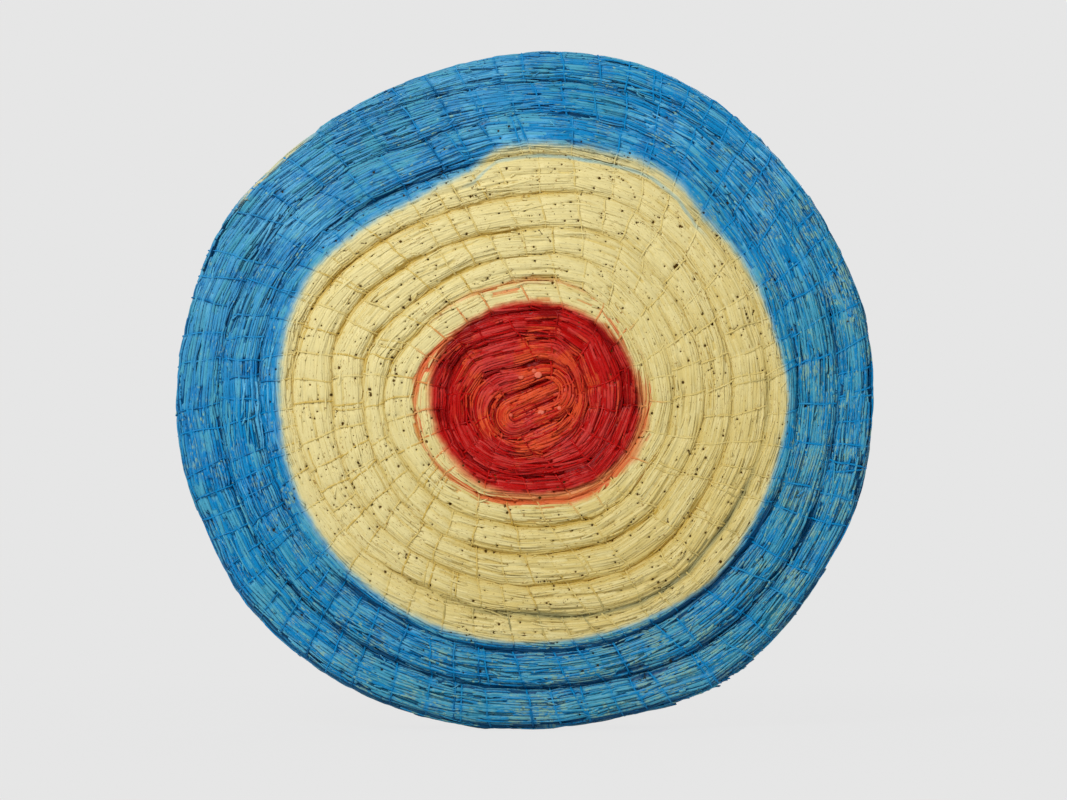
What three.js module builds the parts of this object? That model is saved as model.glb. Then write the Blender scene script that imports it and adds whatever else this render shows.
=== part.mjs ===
// Archery target boss: one straw rope coiled flat on edge from a folded core, lashed with twine.
// Millimetres. X runs to the right and Z up as the face is seen, Y from the face to the back.
// The origin is the middle of the core on the flat back, which rests against the stand. The face
// looks to -Y.
import * as THREE from 'three';

// Whole boss
const bossRadius = 405.6;
const bossDepth = 100;

// Twine, drawn as a tube of four sides inside its round
const twineDiameter = 3;
const twineClearance = 0.4;
const linkClearance = 0.8;
const twineSides = 4;
const knotDiameter = 5.2;
const knotLength = 10;

// Folded core that the coil starts from: two straight legs joined by a fold at their left end
const coreLength = 47;
const coreTiltDegrees = 24;
const corePitchShare = 0.058;

// Stretch of the first leg's back that the twine leaves clear, as shares of the leg from its cut end
const clearBackShares = [0.25, 0.65];

// Middle of the rings, a little up and left of the middle of the core's upper leg
const ringsLeft = 4.1;
const ringsUp = 3.6;

// Rope section: a hexagon stood on edge, with a flat face and back and a fuller waist
const faceInsetShare = 0.14;
const tailWidth = 6;

// Grooves between the turns, as shares of the boss radius. One row is one turn, and its eight values
// lie 45 degrees apart, anticlockwise from the right. The rim is the last full row and its rest.
const grooveShares = [
  [0.162, 0.151, 0.122, 0.133, 0.165, 0.165, 0.177, 0.186],
  [0.194, 0.186, 0.174, 0.197, 0.220, 0.243, 0.232, 0.264],
  [0.284, 0.290, 0.252, 0.267, 0.316, 0.319, 0.304, 0.339],
  [0.357, 0.351, 0.336, 0.348, 0.409, 0.400, 0.377, 0.412],
  [0.426, 0.429, 0.406, 0.412, 0.464, 0.467, 0.455, 0.496],
  [0.519, 0.513, 0.481, 0.510, 0.551, 0.559, 0.545, 0.588],
  [0.600, 0.609, 0.580, 0.614, 0.675, 0.643, 0.623, 0.687],
  [0.699, 0.704, 0.696, 0.725, 0.759, 0.748, 0.736, 0.765],
  [0.788, 0.797, 0.814, 0.838, 0.878, 0.861, 0.843, 0.893],
  [0.896, 0.928, 0.916, 0.945, 0.993, 0.991, 0.957, 1.000],
  [1.000, 0.997, 0.988, 0.974],
];

// Counts. Each turn has 24 sections, 12 fanned round each end of the core.
const sectionsPerFan = 12;
const sectionsPerTurn = 2 * sectionsPerFan;
const fullTurns = 11;
const tailSections = 4;
const sectionsPerWrap = 3;
const wrapsPerTwineLength = 4;
const firstBentWrapTurn = 6;

// The coil leaves the core's own shape between these turns
const coreShapeEnds = 1.4;
const ringShapeStarts = 2.5;

// Worked out from the values above
const twineRadius = twineDiameter / 2;
const twineSeat = twineRadius + twineClearance;
const turnGap = 2 * (twineDiameter + twineClearance) + linkClearance;
const linkOffset = (twineDiameter + linkClearance) / 2;
const linkSlant = twineDiameter + 2.5 * twineClearance;
const linkHeight = 2 * twineDiameter;
const knotRise = (knotDiameter - twineDiameter) / 2;
const corePitch = corePitchShare * bossRadius;
const tilt = THREE.MathUtils.degToRad(coreTiltDegrees);
const alongCore = new THREE.Vector2(Math.cos(tilt), Math.sin(tilt));
const acrossCore = new THREE.Vector2(-Math.sin(tilt), Math.cos(tilt));
const ringsMiddle = new THREE.Vector2(-ringsLeft, ringsUp);
const rightPivot = alongCore.clone().multiplyScalar(coreLength / 2);
const leftPivot = rightPivot.clone().negate().addScaledVector(acrossCore, -corePitch / 2);
const lastSection = fullTurns * sectionsPerTurn + tailSections - 1;

const strawMaterial = new THREE.MeshStandardMaterial({ color: 0x2f86c8, roughness: 0.6, metalness: 0 });
const twineMaterial = new THREE.MeshStandardMaterial({ color: 0xb9a878, roughness: 0.9, metalness: 0 });

// Sections are numbered along the rope from 0. Section -1 is the cut start of the core's upper leg.
function rayOf(section) {
  const turn = Math.floor(section / sectionsPerTurn);
  const place = section - turn * sectionsPerTurn;
  const onRight = place >= sectionsPerFan;
  const step = Math.PI / (sectionsPerFan - 1);
  const inFan = onRight ? place - sectionsPerFan : place;
  const angle = tilt + Math.PI * (onRight ? 1.5 : 0.5) + inFan * step;
  return {
    turn: turn + (onRight ? 0.5 : 0),
    angle: angle + 2 * Math.PI * (turn - 1),
    pivot: onRight ? rightPivot : leftPivot,
    direction: new THREE.Vector2(Math.cos(angle), Math.sin(angle)),
  };
}

// Distance of a groove from the middle of the rings, read between the two nearest shares
function ringRadius(angle) {
  const shares = grooveShares.flat();
  const at = Math.max(0, angle / (Math.PI / 4) - grooveShares[0].length);
  const low = Math.min(Math.floor(at), shares.length - 1);
  const high = Math.min(low + 1, shares.length - 1);
  return bossRadius * THREE.MathUtils.lerp(shares[low], shares[high], at - low);
}

// Middle of the groove on the inner side of a section, measured along the section's ray
function grooveDistance(section) {
  const ray = rayOf(section);
  const likeCore = corePitch * ray.turn;
  if (ray.turn < coreShapeEnds) return likeCore;
  const radius = ringRadius(ray.angle);
  const fromMiddle = ray.pivot.clone().sub(ringsMiddle);
  const lead = fromMiddle.dot(ray.direction);
  const likeRing = Math.sqrt(radius * radius - fromMiddle.lengthSq() + lead * lead) - lead;
  const ringShare = THREE.MathUtils.smoothstep(ray.turn, coreShapeEnds, ringShapeStarts);
  const distance = THREE.MathUtils.lerp(likeCore, likeRing, ringShare);
  if (section <= lastSection) return distance;
  const leastReach = grooveDistance(section - sectionsPerTurn) + turnGap + tailWidth;
  return Math.max(distance + turnGap / 2, leastReach);
}

function groovePoint(section) {
  const ray = rayOf(section);
  return ray.pivot.clone().addScaledVector(ray.direction, grooveDistance(section));
}

// Half the gap between two turns, measured along the ray, which meets the groove at a slant
function halfGapOnRay(section) {
  const ray = rayOf(section);
  if (ray.turn < coreShapeEnds) return turnGap / 2;
  const run = groovePoint(section + 1).sub(groovePoint(section - 1)).normalize();
  return turnGap / 2 / Math.abs(run.cross(ray.direction));
}

// The straw's inner and outer edge on a section's ray, at the rope's waist
function ropeEdges(section) {
  const outerGroove = section + sectionsPerTurn;
  return {
    inner: grooveDistance(section) + halfGapOnRay(section),
    outer: grooveDistance(outerGroove) - halfGapOnRay(outerGroove),
  };
}

function ropeWidth(section) {
  const edges = ropeEdges(section);
  return edges.outer - edges.inner;
}

// One section of rope: face, outer waist, back and inner waist, as six points in turn
function ropeSection(section) {
  const ray = rayOf(section);
  const edges = ropeEdges(section);
  const inset = faceInsetShare * (edges.outer - edges.inner);
  const outline = [
    [edges.inner + inset, -bossDepth],
    [edges.outer - inset, -bossDepth],
    [edges.outer, -bossDepth / 2],
    [edges.outer - inset, 0],
    [edges.inner + inset, 0],
    [edges.inner, -bossDepth / 2],
  ];
  return outline.map(([reach, depth]) => {
    const place = ray.pivot.clone().addScaledVector(ray.direction, reach);
    return new THREE.Vector3(place.x, depth, place.y);
  });
}

// Closed tube through rings of points, all with the same count, with a flat cap at each end
function tubeThroughRings(rings) {
  const sides = rings[0].length;
  const corners = rings.flat();
  const triangles = [];
  for (let ring = 0; ring < rings.length - 1; ring++) {
    for (let side = 0; side < sides; side++) {
      const here = ring * sides + side;
      const next = ring * sides + (side + 1) % sides;
      triangles.push([here, next, here + sides], [next, next + sides, here + sides]);
    }
  }
  const last = (rings.length - 1) * sides;
  for (let side = 1; side < sides - 1; side++) {
    triangles.push([0, side + 1, side], [last, last + side, last + side + 1]);
  }
  const geometry = new THREE.BufferGeometry().setFromPoints(corners);
  geometry.setIndex(triangles.flat());
  geometry.computeVertexNormals();
  return geometry;
}

function strawRope() {
  const cutEnd = ropeSection(-1);
  const foldStart = ropeSection(0);
  const rings = [cutEnd];
  for (const share of clearBackShares) {
    rings.push(cutEnd.map((corner, index) => corner.clone().lerp(foldStart[index], share)));
  }
  for (let section = 0; section <= lastSection; section++) rings.push(ropeSection(section));
  return tubeThroughRings(rings);
}

// A place in a groove, halfway between two sections: along the groove, across it and in depth
function inGroove(section, along, across, depth) {
  const start = groovePoint(section);
  const end = groovePoint(section + 1);
  const run = end.clone().sub(start).normalize();
  const outward = new THREE.Vector2(run.y, -run.x);
  const place = start.lerp(end, 0.5).addScaledVector(run, along).addScaledVector(outward, across);
  return new THREE.Vector3(place.x, depth, place.y);
}

// How far a twine's corner stands from the middle of its groove, over the edge of the straw's face
function cornerOffset(section) {
  const width = (ropeWidth(section) + ropeWidth(section + 1)) / 2;
  return turnGap / 2 + faceInsetShare * width - twineSeat;
}

const overBack = twineSeat;
const overFace = -bossDepth - twineSeat;
const midDepth = -bossDepth / 2;

// Up through the inner groove, behind the strand of the turn inside, and out onto the face
function innerStrand(section) {
  const corner = cornerOffset(section);
  return [
    inGroove(section, linkSlant, corner, overBack),
    inGroove(section, linkSlant, -linkOffset, midDepth + linkHeight),
    inGroove(section, -linkSlant, -linkOffset, midDepth - linkHeight),
    inGroove(section, -linkSlant, corner, overFace),
  ];
}

// Down through the outer groove, where the next turn's strand hooks behind it, or down the rim
function outerStrand(section) {
  const outerGroove = section + sectionsPerTurn;
  const corner = cornerOffset(section);
  const hooked = outerGroove < lastSection;
  return [
    inGroove(outerGroove, 0, -corner, overFace),
    inGroove(outerGroove, 0, hooked ? linkOffset : -linkOffset, midDepth),
    inGroove(outerGroove, 0, -corner, overBack),
  ];
}

// The first wrap holds both legs of the folded core together
function coreWrap(section) {
  const upperGroove = section + sectionsPerTurn;
  const lowerLeg = section + sectionsPerFan;
  const upper = cornerOffset(section);
  return [
    inGroove(upperGroove, 0, -upper, overBack),
    inGroove(upperGroove, 0, linkOffset, midDepth),
    inGroove(upperGroove, 0, -upper, overFace),
    ...outerStrand(lowerLeg),
  ];
}

// Over the back in the middle of the rope, to keep a long stretch of twine on its own turn
function bendOverBack(section) {
  const ray = rayOf(section);
  const edges = ropeEdges(section);
  const place = ray.pivot.clone().addScaledVector(ray.direction, (edges.inner + edges.outer) / 2);
  return new THREE.Vector3(place.x, overBack, place.y);
}

// On the back in the middle of the rope, beside a wrap by the distance given
function besideWrap(section, along) {
  return inGroove(section, along, (turnGap + ropeWidth(section)) / 2, overBack);
}

// Every wrap along the rope as a list of points, from the core to the tail
function allWraps() {
  const start = -1;
  const wraps = [[besideWrap(start, -1.5 * knotLength), ...coreWrap(start), besideWrap(start, 1.5 * knotLength)]];
  for (let section = sectionsPerTurn - 1; section < lastSection; section += sectionsPerWrap) {
    const points = [...innerStrand(section), ...outerStrand(section)];
    if (section >= firstBentWrapTurn * sectionsPerTurn) points.unshift(bendOverBack(section - 1));
    wraps.push(points);
  }
  wraps.at(-1).push(besideWrap(lastSection - 1, 1.5 * knotLength));
  return wraps;
}

// Square rings along a bent line. Each ring lies in the plane that halves its bend, so that the
// twine keeps one section. Both ends widen into half a knot, which stands clear of the straw.
function twineRings(points) {
  const first = points[1].clone().sub(points[0]).normalize();
  const sideways = new THREE.Vector3(0, 1, 0).cross(first).normalize();
  const upright = first.clone().cross(sideways);
  let section = [];
  for (let side = 0; side < twineSides; side++) {
    const turn = 2 * Math.PI * (side + 0.5) / twineSides;
    const offset = sideways.clone().multiplyScalar(twineRadius * Math.cos(turn));
    section.push(offset.addScaledVector(upright, twineRadius * Math.sin(turn)));
  }
  const rings = [];
  points.forEach((point, index) => {
    const before = index > 0 ? point.clone().sub(points[index - 1]).normalize() : first;
    const isLast = index === points.length - 1;
    const after = isLast ? before : points[index + 1].clone().sub(point).normalize();
    const bend = before.clone().add(after).normalize();
    const isEnd = index === 0 || isLast;
    const scale = isEnd ? knotDiameter / twineDiameter : 1;
    section = section.map((offset) => offset.addScaledVector(before, -offset.dot(bend) / before.dot(bend)));
    const middle = isEnd ? point.clone().add(new THREE.Vector3(0, knotRise, 0)) : point;
    rings.push(section.map((offset) => middle.clone().addScaledVector(offset, scale)));
    section = section.map((offset) => offset.clone().addScaledVector(after, -offset.dot(after)));
  });
  return rings;
}

// A knot lies on the back between two wraps, and each of the two lengths that it ties has half of it
function knotEnds(from, to) {
  const direction = to.clone().sub(from).normalize();
  const middle = from.clone().lerp(to, 0.5);
  const along = (distance) => middle.clone().addScaledVector(direction, distance);
  const halfGap = twineClearance / 2;
  return {
    ending: [along(-halfGap - knotLength / 2), along(-halfGap)],
    starting: [along(halfGap), along(halfGap + knotLength / 2)],
  };
}

// The lashing is one line of wraps, worked in needle lengths that are knotted end to end
function twineRoutes() {
  const wraps = allWraps();
  const routes = [];
  let route = [];
  wraps.forEach((points, index) => {
    const startsLength = index % wrapsPerTwineLength === 0;
    if (startsLength && index > 0) {
      const knot = knotEnds(route.at(-1), points[0]);
      routes.push([...route, ...knot.ending]);
      route = [...knot.starting];
    }
    route.push(...points);
  });
  return [...routes, route];
}

// Least distance between the surfaces of two lines of points that lie further apart along the tube
function leastSelfGap(line, thickness, skip) {
  let least = Infinity;
  for (let a = 0; a < line.length; a++) {
    for (let b = a + skip; b < line.length; b++) {
      least = Math.min(least, line[a].distanceTo(line[b]));
    }
  }
  return least - thickness;
}

function pointsAlong(route, spacing) {
  const line = [];
  for (let index = 0; index < route.length - 1; index++) {
    const count = Math.ceil(route[index].distanceTo(route[index + 1]) / spacing);
    for (let step = 0; step < count; step++) {
      line.push(route[index].clone().lerp(route[index + 1], step / count));
    }
  }
  return line;
}

// Least gap between the rope's waist and the waist of the turn outside it
function leastRopeGap() {
  const spacing = twineDiameter / 4;
  const edge = (side, from, to) => {
    const corners = [];
    for (let section = from; section <= to; section++) {
      const ray = rayOf(section);
      const place = ray.pivot.clone().addScaledVector(ray.direction, ropeEdges(section)[side]);
      corners.push(new THREE.Vector3(place.x, midDepth, place.y));
    }
    return pointsAlong(corners, spacing);
  };
  let least = Infinity;
  for (let section = 0; section + sectionsPerTurn < lastSection; section++) {
    const outer = edge('outer', section, section + 1);
    const nextInner = edge('inner', section + sectionsPerTurn - 1, section + sectionsPerTurn + 2);
    for (const here of outer) {
      for (const there of nextInner) least = Math.min(least, here.distanceTo(there));
    }
  }
  return least;
}

const boss = new THREE.Group();

function addPiece(name, geometry, material) {
  const piece = new THREE.Mesh(geometry, material);
  piece.name = name;
  boss.add(piece);
}

addPiece('straw_rope', strawRope(), strawMaterial);
console.log(`straw_rope least gap to itself ${leastRopeGap().toFixed(2)} mm`);

const routes = twineRoutes();
routes.forEach((route, index) => {
  const name = `twine_length_${String(index + 1).padStart(2, '0')}`;
  addPiece(name, tubeThroughRings(twineRings(route)), twineMaterial);
  const skip = Math.ceil(bossDepth / 4 / twineDiameter);
  const gap = leastSelfGap(pointsAlong(route, twineDiameter), twineDiameter, skip);
  console.log(`${name} least gap to itself ${gap.toFixed(2)} mm`);
});

export default boss;
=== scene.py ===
# %% [markdown]
# # Archery target boss
# The boss is one long straw rope, wound flat on edge round a folded core and lashed to itself with
# twine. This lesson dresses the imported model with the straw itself, the twine, the paint and the
# arrow holes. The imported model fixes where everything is, so it is loaded first and never moved.

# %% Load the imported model
import math

import bpy
import numpy as np
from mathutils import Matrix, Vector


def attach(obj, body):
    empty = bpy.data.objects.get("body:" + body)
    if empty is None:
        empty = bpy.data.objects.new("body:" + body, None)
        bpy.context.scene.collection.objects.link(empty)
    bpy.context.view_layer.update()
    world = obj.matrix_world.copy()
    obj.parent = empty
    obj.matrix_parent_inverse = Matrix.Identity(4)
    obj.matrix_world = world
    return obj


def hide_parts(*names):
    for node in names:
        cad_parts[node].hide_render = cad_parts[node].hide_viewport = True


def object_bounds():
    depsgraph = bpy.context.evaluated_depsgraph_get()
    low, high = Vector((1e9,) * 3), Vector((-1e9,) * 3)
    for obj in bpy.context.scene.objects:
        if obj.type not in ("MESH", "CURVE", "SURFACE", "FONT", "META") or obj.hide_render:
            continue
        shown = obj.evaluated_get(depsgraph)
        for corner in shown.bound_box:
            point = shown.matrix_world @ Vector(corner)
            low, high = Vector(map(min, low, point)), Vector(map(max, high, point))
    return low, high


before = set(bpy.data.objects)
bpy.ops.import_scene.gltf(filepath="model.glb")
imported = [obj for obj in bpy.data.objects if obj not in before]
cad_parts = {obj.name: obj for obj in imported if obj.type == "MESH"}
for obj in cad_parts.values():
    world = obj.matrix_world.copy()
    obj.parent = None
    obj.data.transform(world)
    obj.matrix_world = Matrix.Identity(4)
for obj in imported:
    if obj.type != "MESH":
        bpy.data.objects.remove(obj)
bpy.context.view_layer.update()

# %% [markdown]
# ## Where the turns meet
# The grooves between the turns are what the eye follows on this boss. They are not an even spiral:
# the maker pulled some stretches tighter. So each groove was read off the photograph, mostly every 15
# to 45 degrees, as an angle and a distance in pixels from the middle of the rings. A spline would overshoot
# between such uneven readings. Straight interpolation with a little blur keeps close to them.

# %% Read the grooves
PIXEL = 0.0011756
DEPTH = 0.100
SECTIONS_PER_TURN = 24
GROOVES = [
    {0: 56, 45: 52, 90: 42, 105: 40, 120: 44, 135: 46, 150: 50, 165: 55, 180: 57, 225: 58, 270: 62, 315: 63},
    {0: 62, 15: 60, 45: 62, 60: 65, 75: 62, 90: 59, 105: 59, 120: 62, 135: 68, 150: 76, 180: 77, 225: 84,
     240: 82, 270: 79, 285: 80, 300: 86, 315: 92, 330: 94, 345: 96},
    {0: 99, 30: 97, 45: 100, 60: 98, 75: 89, 90: 87, 105: 85, 120: 87, 135: 92, 150: 100, 165: 108,
     180: 110, 210: 112, 225: 110, 255: 108, 270: 105, 285: 107, 300: 115, 315: 117, 330: 118, 345: 121},
    {0: 124, 30: 121, 60: 122, 75: 120, 90: 116, 105: 114, 120: 117, 135: 120, 150: 125, 165: 137, 180: 141,
     195: 141, 210: 136, 240: 134, 255: 128, 270: 130, 285: 133, 300: 139, 315: 142, 330: 141, 345: 147},
    {0: 147, 60: 150, 75: 146, 90: 140, 120: 139, 135: 142, 150: 152, 165: 164, 180: 160, 210: 160,
     225: 161, 240: 159, 270: 157, 285: 159, 300: 167, 315: 172, 330: 171, 345: 177},
    {0: 179, 45: 177, 60: 180, 75: 173, 90: 166, 105: 166, 120: 171, 135: 177, 150: 190, 165: 198, 180: 190,
     195: 192, 225: 193, 240: 188, 270: 188, 285: 190, 300: 200, 315: 204, 330: 201, 345: 205},
    {0: 207, 30: 206, 60: 215, 75: 210, 90: 200, 105: 198, 120: 202, 135: 212, 150: 225, 165: 232, 180: 232,
     195: 226, 210: 222, 225: 222, 240: 214, 270: 215, 285: 225, 300: 235, 315: 237, 330: 235, 345: 240},
    {0: 241, 60: 245, 75: 243, 90: 240, 105: 236, 120: 239, 135: 250, 150: 262, 165: 266, 180: 262,
     210: 261, 240: 254, 270: 254, 315: 264, 345: 270},
    {0: 271, 15: 269, 30: 272, 45: 275, 60: 283, 75: 282, 90: 281, 105: 275, 115: 272, 125: 284, 135: 289,
     150: 296, 165: 303, 180: 303, 200: 300, 225: 297, 240: 294, 270: 291, 285: 292, 300: 304, 315: 308,
     345: 308},
    {0: 310, 15: 314, 45: 320, 75: 318, 90: 312, 105: 312, 120: 319, 130: 327, 140: 337, 150: 344, 165: 344,
     180: 346, 190: 347, 205: 342, 215: 346, 225: 342, 240: 337, 255: 333, 270: 330, 285: 331, 295: 338,
     303: 346, 315: 345, 330: 344, 345: 347},
    {0: 345, 15: 347, 30: 343, 45: 344, 60: 349, 75: 348, 90: 341, 105: 335, 120: 334, 130: 337, 140: 343,
     150: 348, 165: 348, 195: 349},
]
TOP_EDGE_ANGLE, TOP_EDGE_SPREAD, TOP_EDGE_SHIFT = 115, 38, 2.0 * PIXEL
BLUR_DEGREES, BLUR_REACH = 3.0, 12


def groove_table():
    """Groove distance every degree. Turn k reads from 360 (k + 1) degrees, so that angles run on."""
    degrees = [360.0 * (turn + 1) + angle for turn, row in enumerate(GROOVES) for angle in row]
    reach = [pixels * PIXEL for row in GROOVES for pixels in row.values()]
    every = np.arange(degrees[0] - 360.0, degrees[-1] + 1.0)
    weight = np.exp(-0.5 * (np.arange(-BLUR_REACH, BLUR_REACH + 1.0) / BLUR_DEGREES) ** 2)
    wide = every[0] - BLUR_REACH + np.arange(len(every) + 2 * BLUR_REACH)
    padded = np.interp(wide, degrees, reach)
    # Over the top the readings were of the grooves' lit edges, which lie a little further out
    from_top = (wide - TOP_EDGE_ANGLE + 180) % 360 - 180
    padded -= TOP_EDGE_SHIFT * np.exp(-((from_top / TOP_EDGE_SPREAD) ** 2)) * (wide > 3 * 360)
    return every, np.convolve(padded, weight / weight.sum(), mode="valid")


GROOVE_DEGREES, GROOVE_REACH = groove_table()
print("grooves:", len(GROOVES), "turns, outermost", round(float(GROOVE_REACH.max()), 4), "m")

# %% [markdown]
# ## Rays round the folded core
# The rope starts as a straight leg, folds back on itself, and only further out turns round one
# middle. One centre would crush the legs. So the turns are laid off along rays: they fan round the
# left end of the core, slide along it with their direction kept, fan round the right end, and slide
# back. Near the core the grooves keep its even pitch, and from the third turn on they follow the
# readings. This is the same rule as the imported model's, on a finer scale.

# %% Rays and grooves
HALF_TURN = SECTIONS_PER_TURN // 2
CORE_LENGTH = 0.047
CORE_PITCH = 0.058 * 345 * PIXEL
CORE_TILT = math.radians(24)
CORE_TO_RINGS = (1.4, 2.5)
SEARCH_STEPS = 4
RINGS_MIDDLE = np.array([-0.0041, 0.0036])
MIDDLE_PIXEL = np.array([525, 396])
ALONG_CORE = np.array([math.cos(CORE_TILT), math.sin(CORE_TILT)])
ACROSS_CORE = np.array([-math.sin(CORE_TILT), math.cos(CORE_TILT)])
RIGHT_PIVOT = ALONG_CORE * CORE_LENGTH / 2
LEFT_PIVOT = -RIGHT_PIVOT - ACROSS_CORE * CORE_PITCH / 2


def on_photo(pixel_x, pixel_y):
    """X and Z of a place read off the photograph in pixels."""
    return RINGS_MIDDLE + (np.array([pixel_x, pixel_y]) - MIDDLE_PIXEL) * (PIXEL, -PIXEL)


def eased(share):
    return share * share * (3 - 2 * share)


def smoothstep(value, low, high):
    return eased(np.clip((value - low) / (high - low), 0, 1))


def rays(section):
    """Pivot, direction, angle and turn count of the ray at a section. Sections 0 to 11 of a turn fan
    round the left pivot, 12 to 23 round the right one, and between fans only the pivot moves."""
    turn = np.floor(section / SECTIONS_PER_TURN)
    place = section - turn * SECTIONS_PER_TURN
    on_right = place >= HALF_TURN
    place = np.where(on_right, place - HALF_TURN, place)
    fan, slide = np.clip(place, 0, HALF_TURN - 1), np.clip(place - HALF_TURN + 1, 0, 1)
    angle = CORE_TILT + np.pi * (np.where(on_right, 1.5, 0.5) + fan / (HALF_TURN - 1) + 2 * (turn - 1))
    right_share = np.where(on_right, 1 - slide, slide)[..., None]
    pivot = LEFT_PIVOT + (RIGHT_PIVOT - LEFT_PIVOT) * right_share
    direction = np.stack([np.cos(angle), np.sin(angle)], -1)
    return pivot, direction, angle, turn + 0.5 * on_right + 0.5 * slide


def groove_point(section):
    """Middle of the groove on the inner side of a section, as X and Z. Where the ray meets the ring of
    the reading at that very place is found by repeating the step, because the place sets the reading."""
    pivot, direction, angle, turns = rays(section)
    offset = pivot - RINGS_MIDDLE
    lead = (offset * direction).sum(-1)
    seen = angle
    for _ in range(SEARCH_STEPS):
        radius = np.interp(np.degrees(seen), GROOVE_DEGREES, GROOVE_REACH)
        like_ring = np.sqrt(np.maximum(radius**2 - (offset**2).sum(-1) + lead**2, 0)) - lead
        place = offset + direction * like_ring[..., None]
        off = np.arctan2(place[..., 1], place[..., 0]) - angle
        seen = angle + (off + np.pi) % (2 * np.pi) - np.pi
    reach = CORE_PITCH * turns
    reach = reach + (like_ring - reach) * smoothstep(turns, *CORE_TO_RINGS)
    return pivot + direction * reach[..., None]


# %% [markdown]
# ## One length along the whole rope
# Straws and stitches are laid by length along the rope, as the maker does. A table holds, about every
# centimetre, the middle of the rope, the direction across it and its width. Each later step reads it
# by interpolation. The last 20 cm of the rope taper to a fifth of its width.

# %% Table along the rope
LAST_SECTION = 266.6
CUT_END = 0.014
TAIL_SECTIONS = 2.2
table_sections = np.arange(-1.0, LAST_SECTION, 1 / 8)
inner_groove = groove_point(table_sections)
outer_groove = groove_point(table_sections + SECTIONS_PER_TURN)
tail_share = smoothstep(table_sections, LAST_SECTION - TAIL_SECTIONS, LAST_SECTION)
outer_groove = outer_groove + (inner_groove - outer_groove) * 0.8 * tail_share[:, None]
inner_groove = np.vstack([inner_groove[:1] + ALONG_CORE * CUT_END, inner_groove])
outer_groove = np.vstack([outer_groove[:1] + ALONG_CORE * CUT_END, outer_groove])
rope_middle = (inner_groove + outer_groove) / 2
rope_width = np.linalg.norm(outer_groove - inner_groove, axis=1)
rope_across = (outer_groove - inner_groove) / rope_width[:, None]
rope_length = np.concatenate([[0], np.cumsum(np.linalg.norm(np.diff(rope_middle, axis=0), axis=1))])
TOTAL = float(rope_length[-1])
section_of_row = np.concatenate([[-1.2], table_sections])
print("rope:", round(TOTAL, 2), "m long,", round(rope_width.mean() * 1000, 1), "mm wide on average")


def length_at(section):
    return np.interp(section, section_of_row, rope_length)


def table_at(length, lengths, table):
    """Rows of a table of points read at lengths along the rope."""
    return np.stack([np.interp(length, lengths, column) for column in table.T], -1)


# %% [markdown]
# ## Stitches' places
# The twine crosses each turn every 2 to 5 cm. On the photo the stitches of neighbouring turns often
# line up, because the maker works one turn against the stitches of the last, and where a gap grows
# too wide a new line of stitches begins. So the places of one turn are carried out to the next with
# a small lead, and a wide gap gets one more. Each stitch slants by its own small amount.

# %% Place the stitches
STITCH_LEAD = 0.20
WIDEST_GAP, WIDEST_GAP_LEFT = 0.056, 0.043
DOUBLED_SHARE = 0.07
random = np.random.default_rng(12)


def stitch_sections():
    """Sections of all stitches, turn by turn: the last turn's places, led on, plus the wide gaps' middles."""
    placed, row = [], np.array([13.0, 17.0, 20.8, 24.6, 28.2, 31.6, 35.0])
    while True:
        placed.append(row)
        ahead = np.minimum(row + SECTIONS_PER_TURN, LAST_SECTION - 2)
        per_section = (length_at(ahead + 1) - length_at(ahead - 1)) / 2
        row = row + SECTIONS_PER_TURN + 0.0080 / per_section
        row = row + random.uniform(-0.008, 0.008, len(row)) / per_section
        ends = np.append(row, row[0] + SECTIONS_PER_TURN)
        gaps = np.diff(length_at(ends))
        centres = (ends[:-1] + ends[1:]) / 2
        on_left = np.cos(rays(centres)[2] - math.pi) > 0.75
        middles = centres[gaps > np.where(on_left, WIDEST_GAP_LEFT, WIDEST_GAP)]
        row = np.sort(np.concatenate([row, middles]))
        if row[0] > LAST_SECTION:
            break
    every = np.sort(np.concatenate(placed))
    every = every[every < LAST_SECTION - 0.7]
    apart = np.diff(length_at(every), prepend=-1.0)
    every = every[apart > 0.020]
    doubled = every[random.uniform(0, 1, len(every)) < DOUBLED_SHARE]
    doubled = doubled[(doubled > 60) & (doubled < LAST_SECTION - 3)]
    per_section = length_at(doubled + 0.5) - length_at(doubled - 0.5)
    beside = doubled + random.uniform(0.005, 0.009, len(doubled)) / per_section
    return np.sort(np.concatenate([every, beside]))


stitch_places = stitch_sections()
stitch_length = length_at(stitch_places)
stitch_lead = STITCH_LEAD + np.clip(random.normal(0, 0.09, len(stitch_places)), -0.2, 0.2)
gap = np.diff(stitch_length)
print("stitches:", len(stitch_places), "gaps", (1000 * gap[[gap.argmin(), gap.argmax()]]).round(1), "mm")

# %% [markdown]
# ## Short straights
# A lashed rope doesn't bend evenly. Each stitch pulls it in, and between two stitches it runs nearly
# straight. So the rope's middle is drawn most of the way to the chords between its stitches. The
# folded core turns too tightly for that and keeps its curve.

# %% The rope between its stitches
CHORD_SHARE = 0.75
stitch_middle = table_at(stitch_length, rope_length, rope_middle)
chords_from, chords_full = length_at(30.0), length_at(56.0)


def along_rope(length):
    """Middle, direction across and half width of the rope at lengths along it."""
    middle, across = (table_at(length, rope_length, table) for table in (rope_middle, rope_across))
    across /= np.linalg.norm(across, axis=-1, keepdims=True)
    chord = table_at(length, stitch_length, stitch_middle)
    drawn = CHORD_SHARE * smoothstep(length, chords_from, chords_full) * (length < stitch_length[-1])
    middle = middle + (chord - middle) * drawn[..., None]
    return middle, across, np.interp(length, rope_length, rope_width) / 2


# %% [markdown]
# ## The rope's surface
# Seen in section, the rope has a flat crown and round shoulders. Where two turns press together the
# shoulders meet in an open groove, and on the rim the outer shoulder turns all the way down. Sculpting
# could do this, but straws and twine have to follow the same surface later. So the surface becomes a
# function: length along the rope, distance over the section from the crown's middle, and height.

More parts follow.
